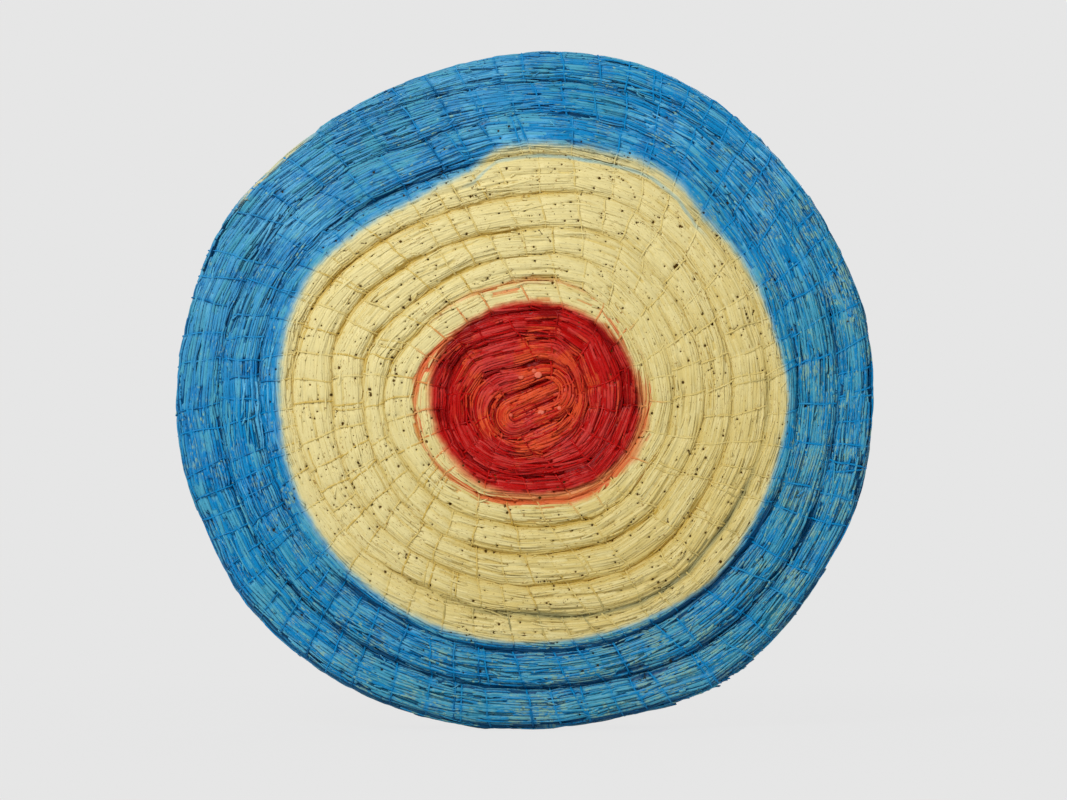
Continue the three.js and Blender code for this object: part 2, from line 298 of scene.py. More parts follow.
# %% Crown and shoulders
FLAT_SHARE = 0.34
GROOVE_BEND = math.radians(57)
BELOW_GROOVE = 0.0045
NESTLED_SHARE = 0.68
WANDER_VALUES = 997
rim_from, rim_full = length_at(LAST_SECTION - 25), length_at(LAST_SECTION - 21)
BESIDE_TAIL, PAST_TAIL = length_at([238.5, 240.5]), length_at([241.6, 243.0])
TAIL_NESTLED = length_at([263.0, 265.3])


def wander(length, seed, wavelength):
    """A smooth random line from -1 to 1 along the rope: random values joined by smooth steps."""
    values = np.random.default_rng(seed).uniform(-1, 1, WANDER_VALUES)
    place = np.asarray(length) / wavelength
    low = np.floor(place).astype(int)
    share = eased(place - low)
    return values[low % WANDER_VALUES] * (1 - share) + values[(low + 1) % WANDER_VALUES] * share


def shoulder(length, half, outer):
    """Flat half of the crown, shoulder radius, and how far the shoulder bends. outer is 1 on the outer
    side. The tail nestles against the turn inside it, so no groove opens there."""
    outer = np.asarray(outer, float)
    bared = smoothstep(length, rim_from, rim_full) * outer
    beside_tail = smoothstep(length, *BESIDE_TAIL) * (1 - smoothstep(length, *PAST_TAIL))
    nestled = beside_tail * outer + smoothstep(length, *TAIL_NESTLED) * (1 - outer)
    bend = GROOVE_BEND * (1 - NESTLED_SHARE * nestled) + (math.pi / 2 - GROOVE_BEND) * bared
    flat = half * FLAT_SHARE
    return flat, (half - flat) / np.sin(bend), bend


def reach_over(length, outer):
    """How far the shown surface reaches over a section from the crown's middle."""
    flat, radius, bend = shoulder(length, along_rope(length)[2], outer)
    return flat + radius * bend + BELOW_GROOVE


print("the rim is bare from", round(float(rim_full), 2), "m on")

# %% [markdown]
# ## Swells and bundles
# The straw swells between the stitches and is nipped in under them. It lies in uneven bundles, which
# show as slow waves and as furrows that open and close again along the rope.

# %% Height over the plain surface
SWELL, NIP, NIP_WIDTH = 0.0006, 0.0009, 0.0042


def from_stitch(length, over):
    """Distance along the rope from the nearest stitch's line, and 0 at stitches to 1 halfway between."""
    count = np.interp(length - STITCH_LEAD * over, stitch_length, np.arange(len(stitch_length)))
    nearest = np.rint(count).astype(int)
    away = length - stitch_length[nearest] - stitch_lead[nearest] * over
    return away, np.sin(np.pi * (count % 1.0))


def swell_and_nip(length, over):
    """0 halfway between stitches, falling with the swell's power 0.7, less a bell curve at the twine."""
    away, swell = from_stitch(length, over)
    return SWELL * (swell**0.7 - 1) - NIP * np.exp(-((away / NIP_WIDTH) ** 2))


def bundles(length, over, half):
    """Height of the uneven bundles: two slow waves, and three furrows, bell curves over the section
    that come and go."""
    height = 0.0006 * wander(length + 7 * over, 3, 0.023) + 0.0009 * wander(length - 4 * over, 4, 0.057)

    def furrow(middle, depth, width, opened):
        return depth * np.exp(-(((over - middle) / width) ** 2)) * opened

    opened = smoothstep(wander(length, 6, 0.25), -0.1, 0.5)
    height = height - furrow(wander(length, 5, 0.17) * 0.013, 0.0020, 0.0028, opened)
    for sign in (-1, 1):
        middle = sign * half * (0.66 + 0.16 * wander(length, 40 + sign, 0.11))
        opened = smoothstep(wander(length, 44 + sign, 0.13), -0.25, 0.35)
        height = height - furrow(middle, 0.0015, 0.0016, opened)
    return height


# %% [markdown]
# ## Depth of the grooves
# The photo's grooves are shallow where the turns are packed tight or full of paint, and deep at the
# lower right. The depth shares were read off it ring by ring and are followed by plain formulas.

# %% How deep the grooves are
def packed_tight(plane):
    """Share of the full depth, 0.3 to 1. In the cream ring it follows one and two waves round the
    middle, further out it peaks towards 290 degrees, and crossed slow waves over the face unsettle it."""
    x, z = plane[..., 0] - RINGS_MIDDLE[0], plane[..., 1] - RINGS_MIDDLE[1]
    reach = np.hypot(x, z)
    right, up = x / (reach + 0.03), z / (reach + 0.03)
    in_red, peak = 0.68, math.radians(290)
    in_cream = 0.556 - 0.065 * right - 0.14 * (right**2 - up**2) - 0.43 * right * up
    in_blue = 0.50 + 0.42 * np.maximum(0, math.cos(peak) * right + math.sin(peak) * up)
    share = in_red + (in_cream - in_red) * smoothstep(reach, 0.100, 0.140)
    share = share + (in_blue - share) * smoothstep(reach, 0.275, 0.310)
    waves = 0.22 * np.sin(21 * x + 2.3 * np.sin(17 * z) + 0.7) * np.cos(19 * z - 1.9 * np.sin(13 * x))
    return share * (1 + waves)


# %% [markdown]
# ## Points on the rope
# All of this comes together in one function. Past the flat crown a step runs round the shoulder's
# arc, then straight on down into the groove. Everything that lies on the rope goes through it, on
# the face and on the back, so nothing floats or sinks in by mistake.

# %% The surface as one function
CROWN = 0.0010
CROWN_WHERE_TIGHT, CROWN_GAIN, CROWN_FROM = 0.4, 6.0, 0.45
TAIL_THINNED, TAIL_SUNK = 0.5, 0.0018
FACE, BACK = 1, -1
tail_from = length_at(LAST_SECTION - TAIL_SECTIONS)


def in_space(plane, depth):
    """Points from places in the face's plane and their depths."""
    return np.stack([plane[..., 0], np.broadcast_to(depth, plane.shape[:-1]), plane[..., 1]], -1)


def on_rope(length, over, lift, side):
    """Points on the rope, with the direction over the section and the outward normal there."""
    middle, across, half = along_rope(length)
    flat, radius, limit = shoulder(length, half, over > 0)
    bend = np.clip((np.abs(over) - flat) / radius, 0, limit)
    past = np.maximum(np.abs(over) - flat - radius * limit, 0)
    sign = np.sign(over)
    sideways = sign * (np.minimum(np.abs(over), flat) + radius * np.sin(bend) + past * np.cos(limit))
    rim, in_tail = smoothstep(length, rim_from, rim_full), smoothstep(length, tail_from, TOTAL)
    at_rim = rim * smoothstep(over, 0.0, 0.004)
    tight = packed_tight(middle + across * sideways[..., None])
    drop = (radius * (1 - np.cos(bend)) + past * np.sin(limit)) * (tight + (1 - tight) * at_rim)
    crown = CROWN * (CROWN_WHERE_TIGHT + CROWN_GAIN * np.maximum(0, tight - CROWN_FROM))
    drop = (drop + crown * (sideways / half) ** 2) * (1 - TAIL_THINNED * in_tail) + TAIL_SUNK * in_tail
    calm = 1 - 0.6 * rim * smoothstep(over, 0.004, 0.016)
    lift = lift + bundles(length, over, half) + calm * swell_and_nip(length, over)
    out, up = sign * np.sin(bend), np.cos(bend)
    rise = lift * up - drop
    plane = middle + across * (sideways + lift * out)[..., None]
    points = in_space(plane, -DEPTH - rise if side == FACE else rise)
    return points, in_space(across * up[..., None], side * out), in_space(across * out[..., None], -side * up)


def depth_share(points, length, over):
    """How deep a place lies in the grooves: 0 on the crown, 1 at a deep groove's bottom."""
    flat, radius, limit = shoulder(length, along_rope(length)[2], over > 0)
    bend = np.clip((np.abs(over) - flat) / radius, 0, limit)
    share = np.clip((1 - np.cos(bend)) / (1 - math.cos(GROOVE_BEND)), 0, 1)
    return share * np.clip((packed_tight(points[..., ::2]) - 0.18) / 0.60, 0, 1.1)


# %% [markdown]
# ## Paint zones
# The boss was sprayed in rings through rough masks, so the edges are soft and not quite round. Red
# lies inside, cream in the middle, blue outside, and the red has a soft glow round it. Each point of
# the mesh stores how far it lies past each edge, and the material turns those distances into paint.

# %% Distances to the paint edges
PAINT_EDGES = {
    "past_red": {0: 113, 15: 110, 30: 107, 45: 102, 60: 98, 75: 95, 90: 93, 120: 91, 150: 93, 165: 95,
        180: 92, 210: 93, 225: 93, 240: 96, 270: 96, 285: 99, 300: 105, 315: 110, 330: 115, 345: 116},
    "past_glow": {0: 121, 15: 113, 30: 110, 45: 105, 60: 101, 75: 98, 90: 95, 120: 93, 135: 95, 150: 99,
        180: 97, 210: 97, 225: 100, 255: 103, 270: 105, 285: 110, 300: 120, 315: 119, 330: 127, 345: 126},
    "past_blue": {0: 262, 15: 255, 30: 255, 45: 251, 52: 259, 60: 262, 75: 254, 90: 250, 97: 246, 104: 229,
        120: 223, 135: 232, 150: 245, 165: 246, 180: 244, 210: 246, 240: 245, 270: 245, 285: 247, 300: 252,
        315: 261, 330: 258, 345: 258},
}


def columns(readings):
    """The keys and the values of a table of readings."""
    return np.array(list(readings.items()), float).T


def past_edge(points, paint):
    """Distance from the rings' middle less the paint edge's distance at that angle, in metres."""
    x, z = points[..., 0] - RINGS_MIDDLE[0], points[..., 2] - RINGS_MIDDLE[1]
    angle = np.degrees(np.arctan2(z, x)) % 360
    edge_angle, edge_pixels = columns(PAINT_EDGES[paint])
    return np.hypot(x, z) - np.interp(angle, edge_angle, edge_pixels, period=360) * PIXEL


# %% [markdown]
# ## Closed tubes in one mesh
# Every piece of this boss is a tube of some section: a skin of straws, a single straw, the twine.
# Blender's curves could make them, but a tube's finish needs values of its own. So rings of points
# are worked out as one array, tube by ring by side, and turned into closed meshes in one go.

# %% Tubes into a mesh
def tube_faces(count, rings, sides):
    """Corner numbers: a quad between each two rings and sides, and a cap at each end of each tube."""
    tube = np.arange(count)[:, None, None] * rings * sides
    ring = np.arange(rings - 1)[None, :, None] * sides
    side = np.arange(sides)[None, None, :]
    after = (side + 1) % sides
    quads = np.stack(np.broadcast_arrays(
        tube + ring + side, tube + ring + after, tube + ring + sides + after, tube + ring + sides + side), -1)
    first = np.arange(count)[:, None] * rings * sides + np.arange(sides)[::-1]
    last = np.arange(count)[:, None] * rings * sides + (rings - 1) * sides + np.arange(sides)
    corners = np.concatenate([quads.reshape(-1), first.reshape(-1), last.reshape(-1)])
    sizes = np.concatenate([np.full(quads.size // 4, 4), np.full(2 * count, sides)])
    return corners, sizes, np.concatenate([np.ones(quads.size // 4, bool), np.zeros(2 * count, bool)])


def face_outwards(rings):
    """Turns the sides round in tubes whose rings run clockwise as seen along the tube: the sum of the
    cross products of neighbouring spokes points along the ring's axis."""
    middle = rings[:, :2].mean(2)
    spokes = rings[:, 0] - middle[:, 0, None]
    turn = np.cross(spokes, np.roll(spokes, -1, 1)).sum(1)
    clockwise = (turn * (middle[:, 1] - middle[:, 0])).sum(-1) < 0
    return np.where(clockwise[:, None, None, None], rings[:, :, ::-1], rings), clockwise


# %% [markdown]
# ## Gathering tubes into pieces
# A piece holds tubes of several kinds, each with values for the finish. So a gatherer takes them one array
# after another and fills the mesh once, at the end. Each piece hides the imported part it stands for and is
# attached to the body it rides on.

# %% The gatherer
VALUE_NAMES = ("shade", "wear", "sunk", "gap", "masked", "filled", "cut", "along", "over",
               "hole_x", "hole_z", "hole_radius", "hole_far")
straw_pieces, twine_pieces, made_triangles = [], [], []


class Soup:
    """Points, faces and values of one mesh, gathered from several arrays."""

    def __init__(self):
        self.points, self.corners, self.sizes, self.smooth, self.values, self.count = [], [], [], [], {}, 0

    def add_tubes(self, rings, **values):
        """Adds tubes. A value has one number for each tube, ring or point."""
        shape = rings.shape[:3]
        rings, clockwise = face_outwards(rings)
        corners, sizes, smooth = tube_faces(*shape)
        for name in VALUE_NAMES:
            value = np.asarray(values.get(name, 0.0), float)
            while value.ndim < 3:
                value = value[..., None]
            full = np.broadcast_to(value, shape)
            full = np.where(clockwise[:, None, None], full[:, :, ::-1], full)
            self.values.setdefault(name, []).append(full.reshape(-1))
        self.points.append(rings.reshape(-1, 3))
        self.corners.append(corners + self.count)
        self.sizes.append(sizes)
        self.smooth.append(smooth)
        self.count += rings.size // 3

    def make(self, name):
        """Puts the gathered arrays into a mesh and its object. Caps stay flat, so they bend no shading."""
        mesh = bpy.data.meshes.new(name)
        points, corners = np.concatenate(self.points), np.concatenate(self.corners)
        sizes = np.concatenate(self.sizes)
        mesh.vertices.add(len(points))
        mesh.vertices.foreach_set("co", points.astype(np.float32).ravel())
        mesh.loops.add(len(corners))
        mesh.loops.foreach_set("vertex_index", corners.astype(np.int32))
        mesh.polygons.add(len(sizes))
        mesh.polygons.foreach_set("loop_start", np.concatenate([[0], np.cumsum(sizes)[:-1]]).astype(np.int32))
        mesh.update(calc_edges=True)
        mesh.polygons.foreach_set("use_smooth", np.concatenate(self.smooth))
        for paint in PAINT_EDGES:
            self.values[paint] = [past_edge(points, paint)]
        for value_name, parts in self.values.items():
            layer = mesh.attributes.new(value_name, "FLOAT", "POINT")
            layer.data.foreach_set("value", np.concatenate(parts).astype(np.float32))
        piece = bpy.data.objects.new(name, mesh)
        bpy.context.scene.collection.objects.link(piece)
        triangles = int((sizes - 2).sum())
        made_triangles.append(triangles)
        print(name, "triangles", triangles)
        return piece


def straw_piece(soup, name):
    """A finished straw piece: it stands for the CAD rope and rides on the boss's one body."""
    piece = soup.make(name)
    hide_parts("straw_rope")
    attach(piece, "root")
    straw_pieces.append(piece)


# %% [markdown]
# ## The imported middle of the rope
# Under the straws that show lies more straw. It closes the rope between the face and the back, so it
# is one plain closed tube round the whole rope, some way below the surface.

# %% Packed straw
PACKING_BELOW, PACKING_STEP, PACKING_SIDES = 0.0095, 0.015, 16
CORNERED = 1.3


def packing():
    """Rings round the rope, a little wider where turns press together: cos and sin of the angle times
    1.3, cut off at 1, so that the walls are straight and the corners slanted."""
    length = np.linspace(0.0005, TOTAL - 0.004, int(TOTAL / PACKING_STEP))[:, None]
    middle, across, half = along_rope(length)
    around = np.linspace(0, 2 * np.pi, PACKING_SIDES, endpoint=False)[None]
    sideways = (half + 0.0015 * (length < rim_from)) * np.clip(CORNERED * np.cos(around), -1, 1)
    deep = -DEPTH / 2 + (DEPTH / 2 - PACKING_BELOW) * np.clip(CORNERED * np.sin(around), -1, 1)
    soup = Soup()
    rings = in_space(middle + across * sideways[..., None], deep)[None]
    # sunk 1 gives the packing the darkest painted shade of the grooves.
    soup.add_tubes(rings, shade=0.35, wear=0.5, sunk=1.0, hole_far=1.0,
                   along=length[None], over=sideways[None])
    straw_piece(soup, "straw_packing")


packing()

# %% [markdown]
# ## Arrow holes
# Hundreds of arrows have left holes, 1 to 3 mm wide where the straw has closed up again. Cutting them
# out with a boolean would be slow and leave ragged faces. Instead the surface is pulled down to a pit
# at each hole. The mesh is coarser than a hole is round, so each point near one also stores the
# hole's middle and radius. The material measures the distance to that middle, and the dark edge
# stays crisp.

# %% Place the arrow holes
HOLE_COUNT = 1150
HOLES_APART = 0.0042
HOLE_REACH = 0.385
HOLE_CHANCE = {0: 0.06, 0.10: 0.08, 0.13: 0.9, 0.2: 1.0, 0.28: 1.0, 0.31: 0.35, 0.39: 0.15}
GROUP_SPREAD = 0.009
ODD_HOLE, ODD_HOLE_SIZE = on_photo(675, 268), 0.0034


def arrow_holes():
    """X, Z and radius of the holes: few in the red and towards the rim, some in groups, and none closer
    than a few millimetres. The radii are 0.8 mm times e to the power of a normal draw."""
    angle = random.uniform(0, 2 * np.pi, 2 * HOLE_COUNT)
    reach = HOLE_REACH * np.sqrt(random.uniform(0, 1, len(angle)))
    kept = random.uniform(0, 1, len(angle)) < np.interp(reach, *columns(HOLE_CHANCE))
    spots = np.stack([reach * np.cos(angle), reach * np.sin(angle)], 1)[kept] + RINGS_MIDDLE
    grouped = random.integers(0, len(spots) // 6, len(spots))
    spots = np.concatenate([spots, spots[grouped] + random.normal(0, GROUP_SPREAD, (len(spots), 2))])
    spots = np.concatenate([ODD_HOLE[None], spots[random.permutation(len(spots))]])
    apart = np.linalg.norm(spots[:, None] - spots[None], axis=-1)
    crowded = (np.tril(apart < HOLES_APART, -1)).any(1)
    spots = spots[~crowded][:HOLE_COUNT]
    size = np.clip(0.00078 * np.exp(random.normal(0, 0.38, len(spots))), 0.0004, 0.0017)
    size[0] = ODD_HOLE_SIZE
    return spots, size


hole_spots, hole_sizes = arrow_holes()
print("arrow holes:", len(hole_spots))

# %% [markdown]
# ## Sinking the holes
# Each hole only touches a few rows of one turn's skin, so the search for nearby points stays in a
# window round the nearest row.

# %% Pits in a skin
PIT_DEPTH = 0.0035
PIT_EDGE = (-0.0006, 0.0012)
ROWS_BESIDE, HALF_TURN_WIDTH = 12, 0.034


def sink_holes(points, lengths):
    """Pulls a skin's points down near each hole, and gives each point its nearest hole.
    The pull is a smooth step of the distance past the hole's edge."""
    far = np.full(points.shape[:2], 0.02)
    nearest = {name: np.zeros_like(far) for name in ("hole_x", "hole_z", "hole_radius")}
    row_middle = along_rope(lengths)[0]
    for (x, z), radius in zip(hole_spots, hole_sizes):
        to_rows = np.hypot(row_middle[:, 0] - x, row_middle[:, 1] - z)
        row = int(to_rows.argmin())
        if to_rows[row] > HALF_TURN_WIDTH:
            continue
        window = slice(max(row - ROWS_BESIDE, 0), row + ROWS_BESIDE + 1)
        away = np.hypot(points[window, :, 0] - x, points[window, :, 2] - z) - radius
        nearer = away < far[window]
        far[window] = np.where(nearer, away, far[window])
        for value, here in zip(nearest.values(), (x, z, radius)):
            value[window] = np.where(nearer, here, value[window])
    points[..., 1] += PIT_DEPTH * (1 - smoothstep(far, *PIT_EDGE))
    return points, dict(nearest, hole_far=far)


# %% [markdown]
# ## A skin of straws
# The straws lie side by side in lanes along the rope, one behind another, and thick paint bridges the
# gaps between them. Modelled one by one they look like wire. So each turn gets one skin whose grid
# lines follow the lanes: every fourth line runs in a crease between two lanes, and the lines between
# carry the straws' round backs. A lane is cut into straws, each with its own height and colour, some
# missing. The lanes' edges shift at the stitches, where straws kink.

# %% Straws in lanes
BACK_LINES = (0.0, 0.24, 0.5, 0.76)
STRAW_ROUND = 0.10
STRAW_UNEVEN = 0.0014
GONE_SHARE, GONE_DEPTH = 0.09, 0.0019


def lane_edges(length, lanes, seed):
    """Edges of the lanes as shares from -1 to 1: even steps, moved at each stitch, straight between."""
    generator = np.random.default_rng(seed)
    step = 2 / lanes
    moved = generator.uniform(-0.40, 0.40, (len(stitch_length), lanes + 1)) * step
    moved += generator.uniform(-0.6, 0.6, (len(stitch_length), 1)) * step
    moved[:, [0, -1]] = 0
    even = np.linspace(-1, 1, lanes + 1)
    return np.stack([even[k] + np.interp(length, stitch_length, moved[:, k]) for k in range(lanes + 1)], 1)


def lane_straws(length, lanes, seed, mean, uneven):
    """Height, shade, wear and missing straws, for each length and lane. The height falls off near a
    straw's ends, by exp(-distance / 2.5 mm)."""
    traits, to_end = [], []
    for lane in range(lanes):
        generator = np.random.default_rng(seed + lane)
        span = length[-1] - length[0]
        ends = length[0] - mean + np.cumsum(mean * generator.uniform(0.35, 1.6, int(1.6 * span / mean) + 8))
        which = np.clip(np.searchsorted(ends, length), 1, len(ends) - 1)
        traits.append(generator.uniform(0, 1, (len(ends), 5))[which])
        to_end.append(np.minimum(length - ends[which - 1], ends[which] - length))
    traits, to_end = np.stack(traits, 1), np.maximum(np.stack(to_end, 1), 0)
    gone = traits[..., 1] < GONE_SHARE * np.minimum(uneven, 1.6)
    level = np.where(gone, -GONE_DEPTH, (traits[..., 0] - 0.5) * STRAW_UNEVEN) * uneven
    level -= 0.0011 * traits[..., 4] * np.exp(-to_end / 0.0025)
    level += 0.00022 * wander(length[:, None] + 0.37 * np.arange(lanes), seed + 77, 0.012)
    return level, traits[..., 2], traits[..., 3], gone


def lane_grid(length, lanes, seed, mean, width, roughness):
    """Rows by columns: share over the section, lift, the values of the finish, and missing straws.
    width is a lane's width, and roughness scales the creases between -1 and 1."""
    edges = lane_edges(length, lanes, seed)
    level, shade, wear, gone = lane_straws(length, lanes, seed + 500, mean, roughness(np.full((1, 1), 0.5)))
    beside = np.concatenate([level[:, :1], level, level[:, -1:]], 1)
    spread = length[:, None] + 0.61 * np.arange(lanes + 1)
    open_crease = 0.5 + 0.5 * wander(spread, seed + 80, 0.030)
    crack = smoothstep(wander(spread, seed + 81, 0.045), 0.45, 0.9)
    crease_depth = width * (0.09 + 0.24 * open_crease) * roughness(edges) + 0.0016 * crack
    crease = np.minimum(beside[:, :-1], beside[:, 1:]) - crease_depth
    opened = np.clip(crease_depth / 0.0012, 0, 1)

    def weave(lines, last):
        """Columns from one array for each line of a lane, and the last crease's own column."""
        return np.concatenate([np.stack(lines, -1).reshape(len(length), -1), last[:, None]], 1)

    def whole(value):
        return weave([value] * len(BACK_LINES), value[:, -1])

    backs = [level - width * STRAW_ROUND * (2 * abs(place - 0.5)) ** 2 for place in BACK_LINES[1:]]
    share = weave([edges[:, :-1] + place * np.diff(edges, axis=1) for place in BACK_LINES], edges[:, -1])
    lift = weave([crease[:, :-1]] + backs, crease[:, -1])
    gap = weave([opened[:, :-1]] + [np.zeros_like(level)] * len(backs), opened[:, -1])
    return share, lift, {"shade": whole(shade), "wear": whole(wear), "gap": gap}, whole(gone.astype(float))


# %% [markdown]
# ## Skins of the face and the back
# Each turn has one skin on the face and a coarser one on the back, closed underneath, inside the
# rope. The face was smoothed by paint, most of all on its crowns. The back is bare straw.

# %% Skins turn by turn
FACE_ROW, BACK_ROW = 0.0024, 0.0042
FACE_LANE, BACK_LANE, BACK_THIN = 0.0030, 0.0044, 1.5
UNDERSIDE = 0.019
FILLED_WIDTH = 0.0026
MASK_BEGINS, MASK_ENDS = length_at([264.50, 264.95]), length_at([265.50, 265.95])
MASK_WIDENS = length_at([264.6, 265.6])


def paint_thin_at(length):
    """The paint is thick and smooth in the cream ring, thinner in the red and thinnest in the blue."""
    middle = along_rope(length)[0]
    place = np.stack([middle[:, 0], 0 * length, middle[:, 1]], 1)
    in_red = smoothstep(-past_edge(place, "past_red"), -0.012, 0.006)
    in_blue = smoothstep(past_edge(place, "past_blue"), -0.004, 0.016)
    return (0.85 + 0.95 * in_red + 1.15 * in_blue)[:, None]


def tail_masked(length, over):
    """1 on the outer part of the tail, which the blue paint never reached."""
    covered = smoothstep(length, *MASK_BEGINS) * (1 - smoothstep(length, *MASK_ENDS))
    inner_edge = 0.0025 - 0.0055 * smoothstep(length, *MASK_WIDENS)
    return covered * smoothstep(over - inner_edge, -0.0030, 0.0030)


def between_grooves(share, inner, outer):
    """Distance over the section, from shares that run from -1 at the inner groove to 1 at the outer."""
    return np.where(share > 0, share * outer[..., None], share * inner[..., None])


def carried_under(values):
    """Adds the two columns that carry a skin round underneath, copied from its edges."""
    return {name: np.concatenate([value, value[:, -1:], value[:, :1]], 1)[None]
            for name, value in values.items()}


def skin(low, high, row_step, lane_width, side, seed, mean):
    """One closed skin between two lengths: the lanes' grid on the rope's surface, and two more columns
    inside the rope."""
    rows = int(round((high - low) / row_step)) + 1
    length = np.linspace(low, high, rows)
    inner, outer = reach_over(length, 0.0), reach_over(length, 1.0)
    lanes = int(round((inner.mean() + outer.mean()) / lane_width))
    thin = paint_thin_at(length) if side == FACE else np.full((rows, 1), BACK_THIN)
    roughness = lambda share: thin * (0.50 + 0.95 * np.abs(share))
    width = (inner + outer).mean() / lanes
    share, lift, values, missing = lane_grid(length, lanes, seed, mean, width, roughness)
    over = between_grooves(share, inner, outer)
    along = np.broadcast_to(length[:, None], over.shape)
    points, _, _ = on_rope(along, over, lift, side)
    if side == FACE and low < length_at(60):
        core_points.append(points.reshape(-1, 3))
    # sunk feeds the finish's painted shade: deeper in the grooves, deeper still where a straw is missing.
    values["sunk"] = np.clip(depth_share(points, along, over) + 0.35 * missing, 0, 1)
    values["over"] = over
    if side == FACE:
        points, holes = sink_holes(points, length)
        values.update(holes)
    middle, across, half = along_rope(length)
    depth = -DEPTH + UNDERSIDE if side == FACE else -UNDERSIDE
    under = [in_space(middle + across * (half * aside)[:, None], depth)[:, None] for aside in (0.8, -0.8)]
    values = carried_under(values)
    values.setdefault("hole_far", 1.0)
    away, _ = from_stitch(along, over)
    filled = np.exp(-((away / FILLED_WIDTH) ** 2))
    for name, value in (("filled", filled), ("masked", tail_masked(along, over))):
        values[name] = np.concatenate([value, np.zeros((rows, 2))], 1)[None]
    return np.concatenate([points] + under, 1)[None], dict(values, along=length[None])


TURNS = 11
core_points = []
turn_ends = [0.0005]
for turn in range(1, TURNS):
    due = length_at(SECTIONS_PER_TURN * turn - 1)
    turn_ends.append(float(stitch_length[np.abs(stitch_length - due).argmin()]))
turn_ends.append(TOTAL - 0.001)
for turn, (low, high) in enumerate(zip(turn_ends[:-1], turn_ends[1:])):
    mean = float(np.interp(turn, [0, 2, 6, 10], [0.018, 0.026, 0.036, 0.036]))
    for name, *how in (("face", FACE_ROW, FACE_LANE, FACE, 1000 * turn, mean),
                       ("back", BACK_ROW, BACK_LANE, BACK, 1000 * turn + 17, mean * 2)):
        rings, values = skin(low, high, *how)
        soup = Soup()
        soup.add_tubes(rings, **values)
        straw_piece(soup, f"straw_{name}_turn_{turn + 1:02d}")

# %% [markdown]
# ## The rim
# The outermost turn shows its side as well. It gets a skin of its own round the wall, between the
# two shoulders. The walls of the other turns are pressed together and stay hidden.

# %% Skin round the rim
RIM_ROW, RIM_LANE, RIM_EDGE, RIM_INSIDE = 0.0036, 0.0033, 0.010, 0.016
RIM_STRAW, RIM_UNEVEN = 0.06, 1.3


def rim_place(length, depth, lift):
    """Points on the outer wall of the rope at a depth, with their outward normals."""
    middle, across, half = along_rope(length)
    lift = lift + 0.4 * swell_and_nip(length, half * 1.4) + 0.0008 * wander(length + 5 * depth, 8, 0.05)
    return in_space(middle + across * (half + lift)[..., None], depth), in_space(across, 0.0)


def rim_skin():
    """The lanes' grid wrapped round the rim, closed inside the rope."""
    length = np.linspace(rim_from, TOTAL - 0.03, int((TOTAL - 0.03 - rim_from) / RIM_ROW))
    lanes = int((DEPTH - 2 * RIM_EDGE) / RIM_LANE)
    share, lift, values, missing = lane_grid(length, lanes, 71, RIM_STRAW, RIM_LANE,
                                             lambda share: RIM_UNEVEN + 0 * share)
    depth = -DEPTH / 2 + share * (DEPTH / 2 - RIM_EDGE)
    along = np.broadcast_to(length[:, None], depth.shape)
    points, _ = rim_place(along, depth, lift)
    middle, across, half = along_rope(length)
    inside = [in_space(middle + across * (half * 0.5)[:, None], deep)[:, None]
              for deep in (-RIM_INSIDE, -DEPTH + RIM_INSIDE)]
    values["sunk"], values["over"] = 0.15 + 0.3 * missing, depth
    values["masked"] = tail_masked(along, 0.02) * smoothstep(-depth, 0.060, 0.075)
    soup = Soup()
    soup.add_tubes(np.concatenate([points] + inside, 1)[None], along=length[None], hole_far=1.0,
                   **carried_under(values))
    straw_piece(soup, "straw_rim")


rim_skin()

# %% [markdown]
# ## Loose straws
# Between the lanes lie straws that cross them, broken stubs and ends that stick out. They are single
# tubes, sunk half into the skin, and there are only some thousands, because they are what the eye
# picks out and not what it rests on.

# %% Straws that cross the lanes
STRAW_SIDES = 5
RINGS_ALONG = np.array([[0, 0.08, 0.3, 0.5, 0.7, 0.92, 1]])
ENDS_THINNED = np.where((RINGS_ALONG < 0.01) | (RINGS_ALONG > 0.99), 0.7, 1.0)
ENDS_DIP = 0.0012 * (2 * RINGS_ALONG - 1) ** 4


def tubes_round(place, first_way, second_way, size, sides=STRAW_SIDES):
    """Rings round points: cos and sin of the angle along two ways, times the size. The second is flatter."""
    around = 2 * np.pi * (np.arange(sides) + 0.5) / sides
    rings = place[:, :, None] + (size[..., None] * np.cos(around))[..., None] * first_way[:, :, None]
    return rings + (0.75 * size[..., None] * np.sin(around))[..., None] * second_way[:, :, None]


def laid_from(start, reach):
    """Length along the rope of each ring of straws that start somewhere and reach on."""
    return start[:, None] + reach[:, None] * RINGS_ALONG


def veered(turned, reach):
    """How far each ring lies aside: the turn times the ring's distance from the straw's middle."""
    return turned[:, None] * reach[:, None] * (RINGS_ALONG - 0.5)


def add_straws(soup, points, over_way, normal, **values):
    """Thin tubes of uneven size and colour, narrower at the ends."""
    count = len(points)
    size = random.uniform(0.0009, 0.0015, count)[:, None] * ENDS_THINNED
    soup.add_tubes(tubes_round(points, over_way, normal, size), shade=random.uniform(0, 1, count),
                   wear=random.uniform(0, 1, count), hole_far=1.0, **values)


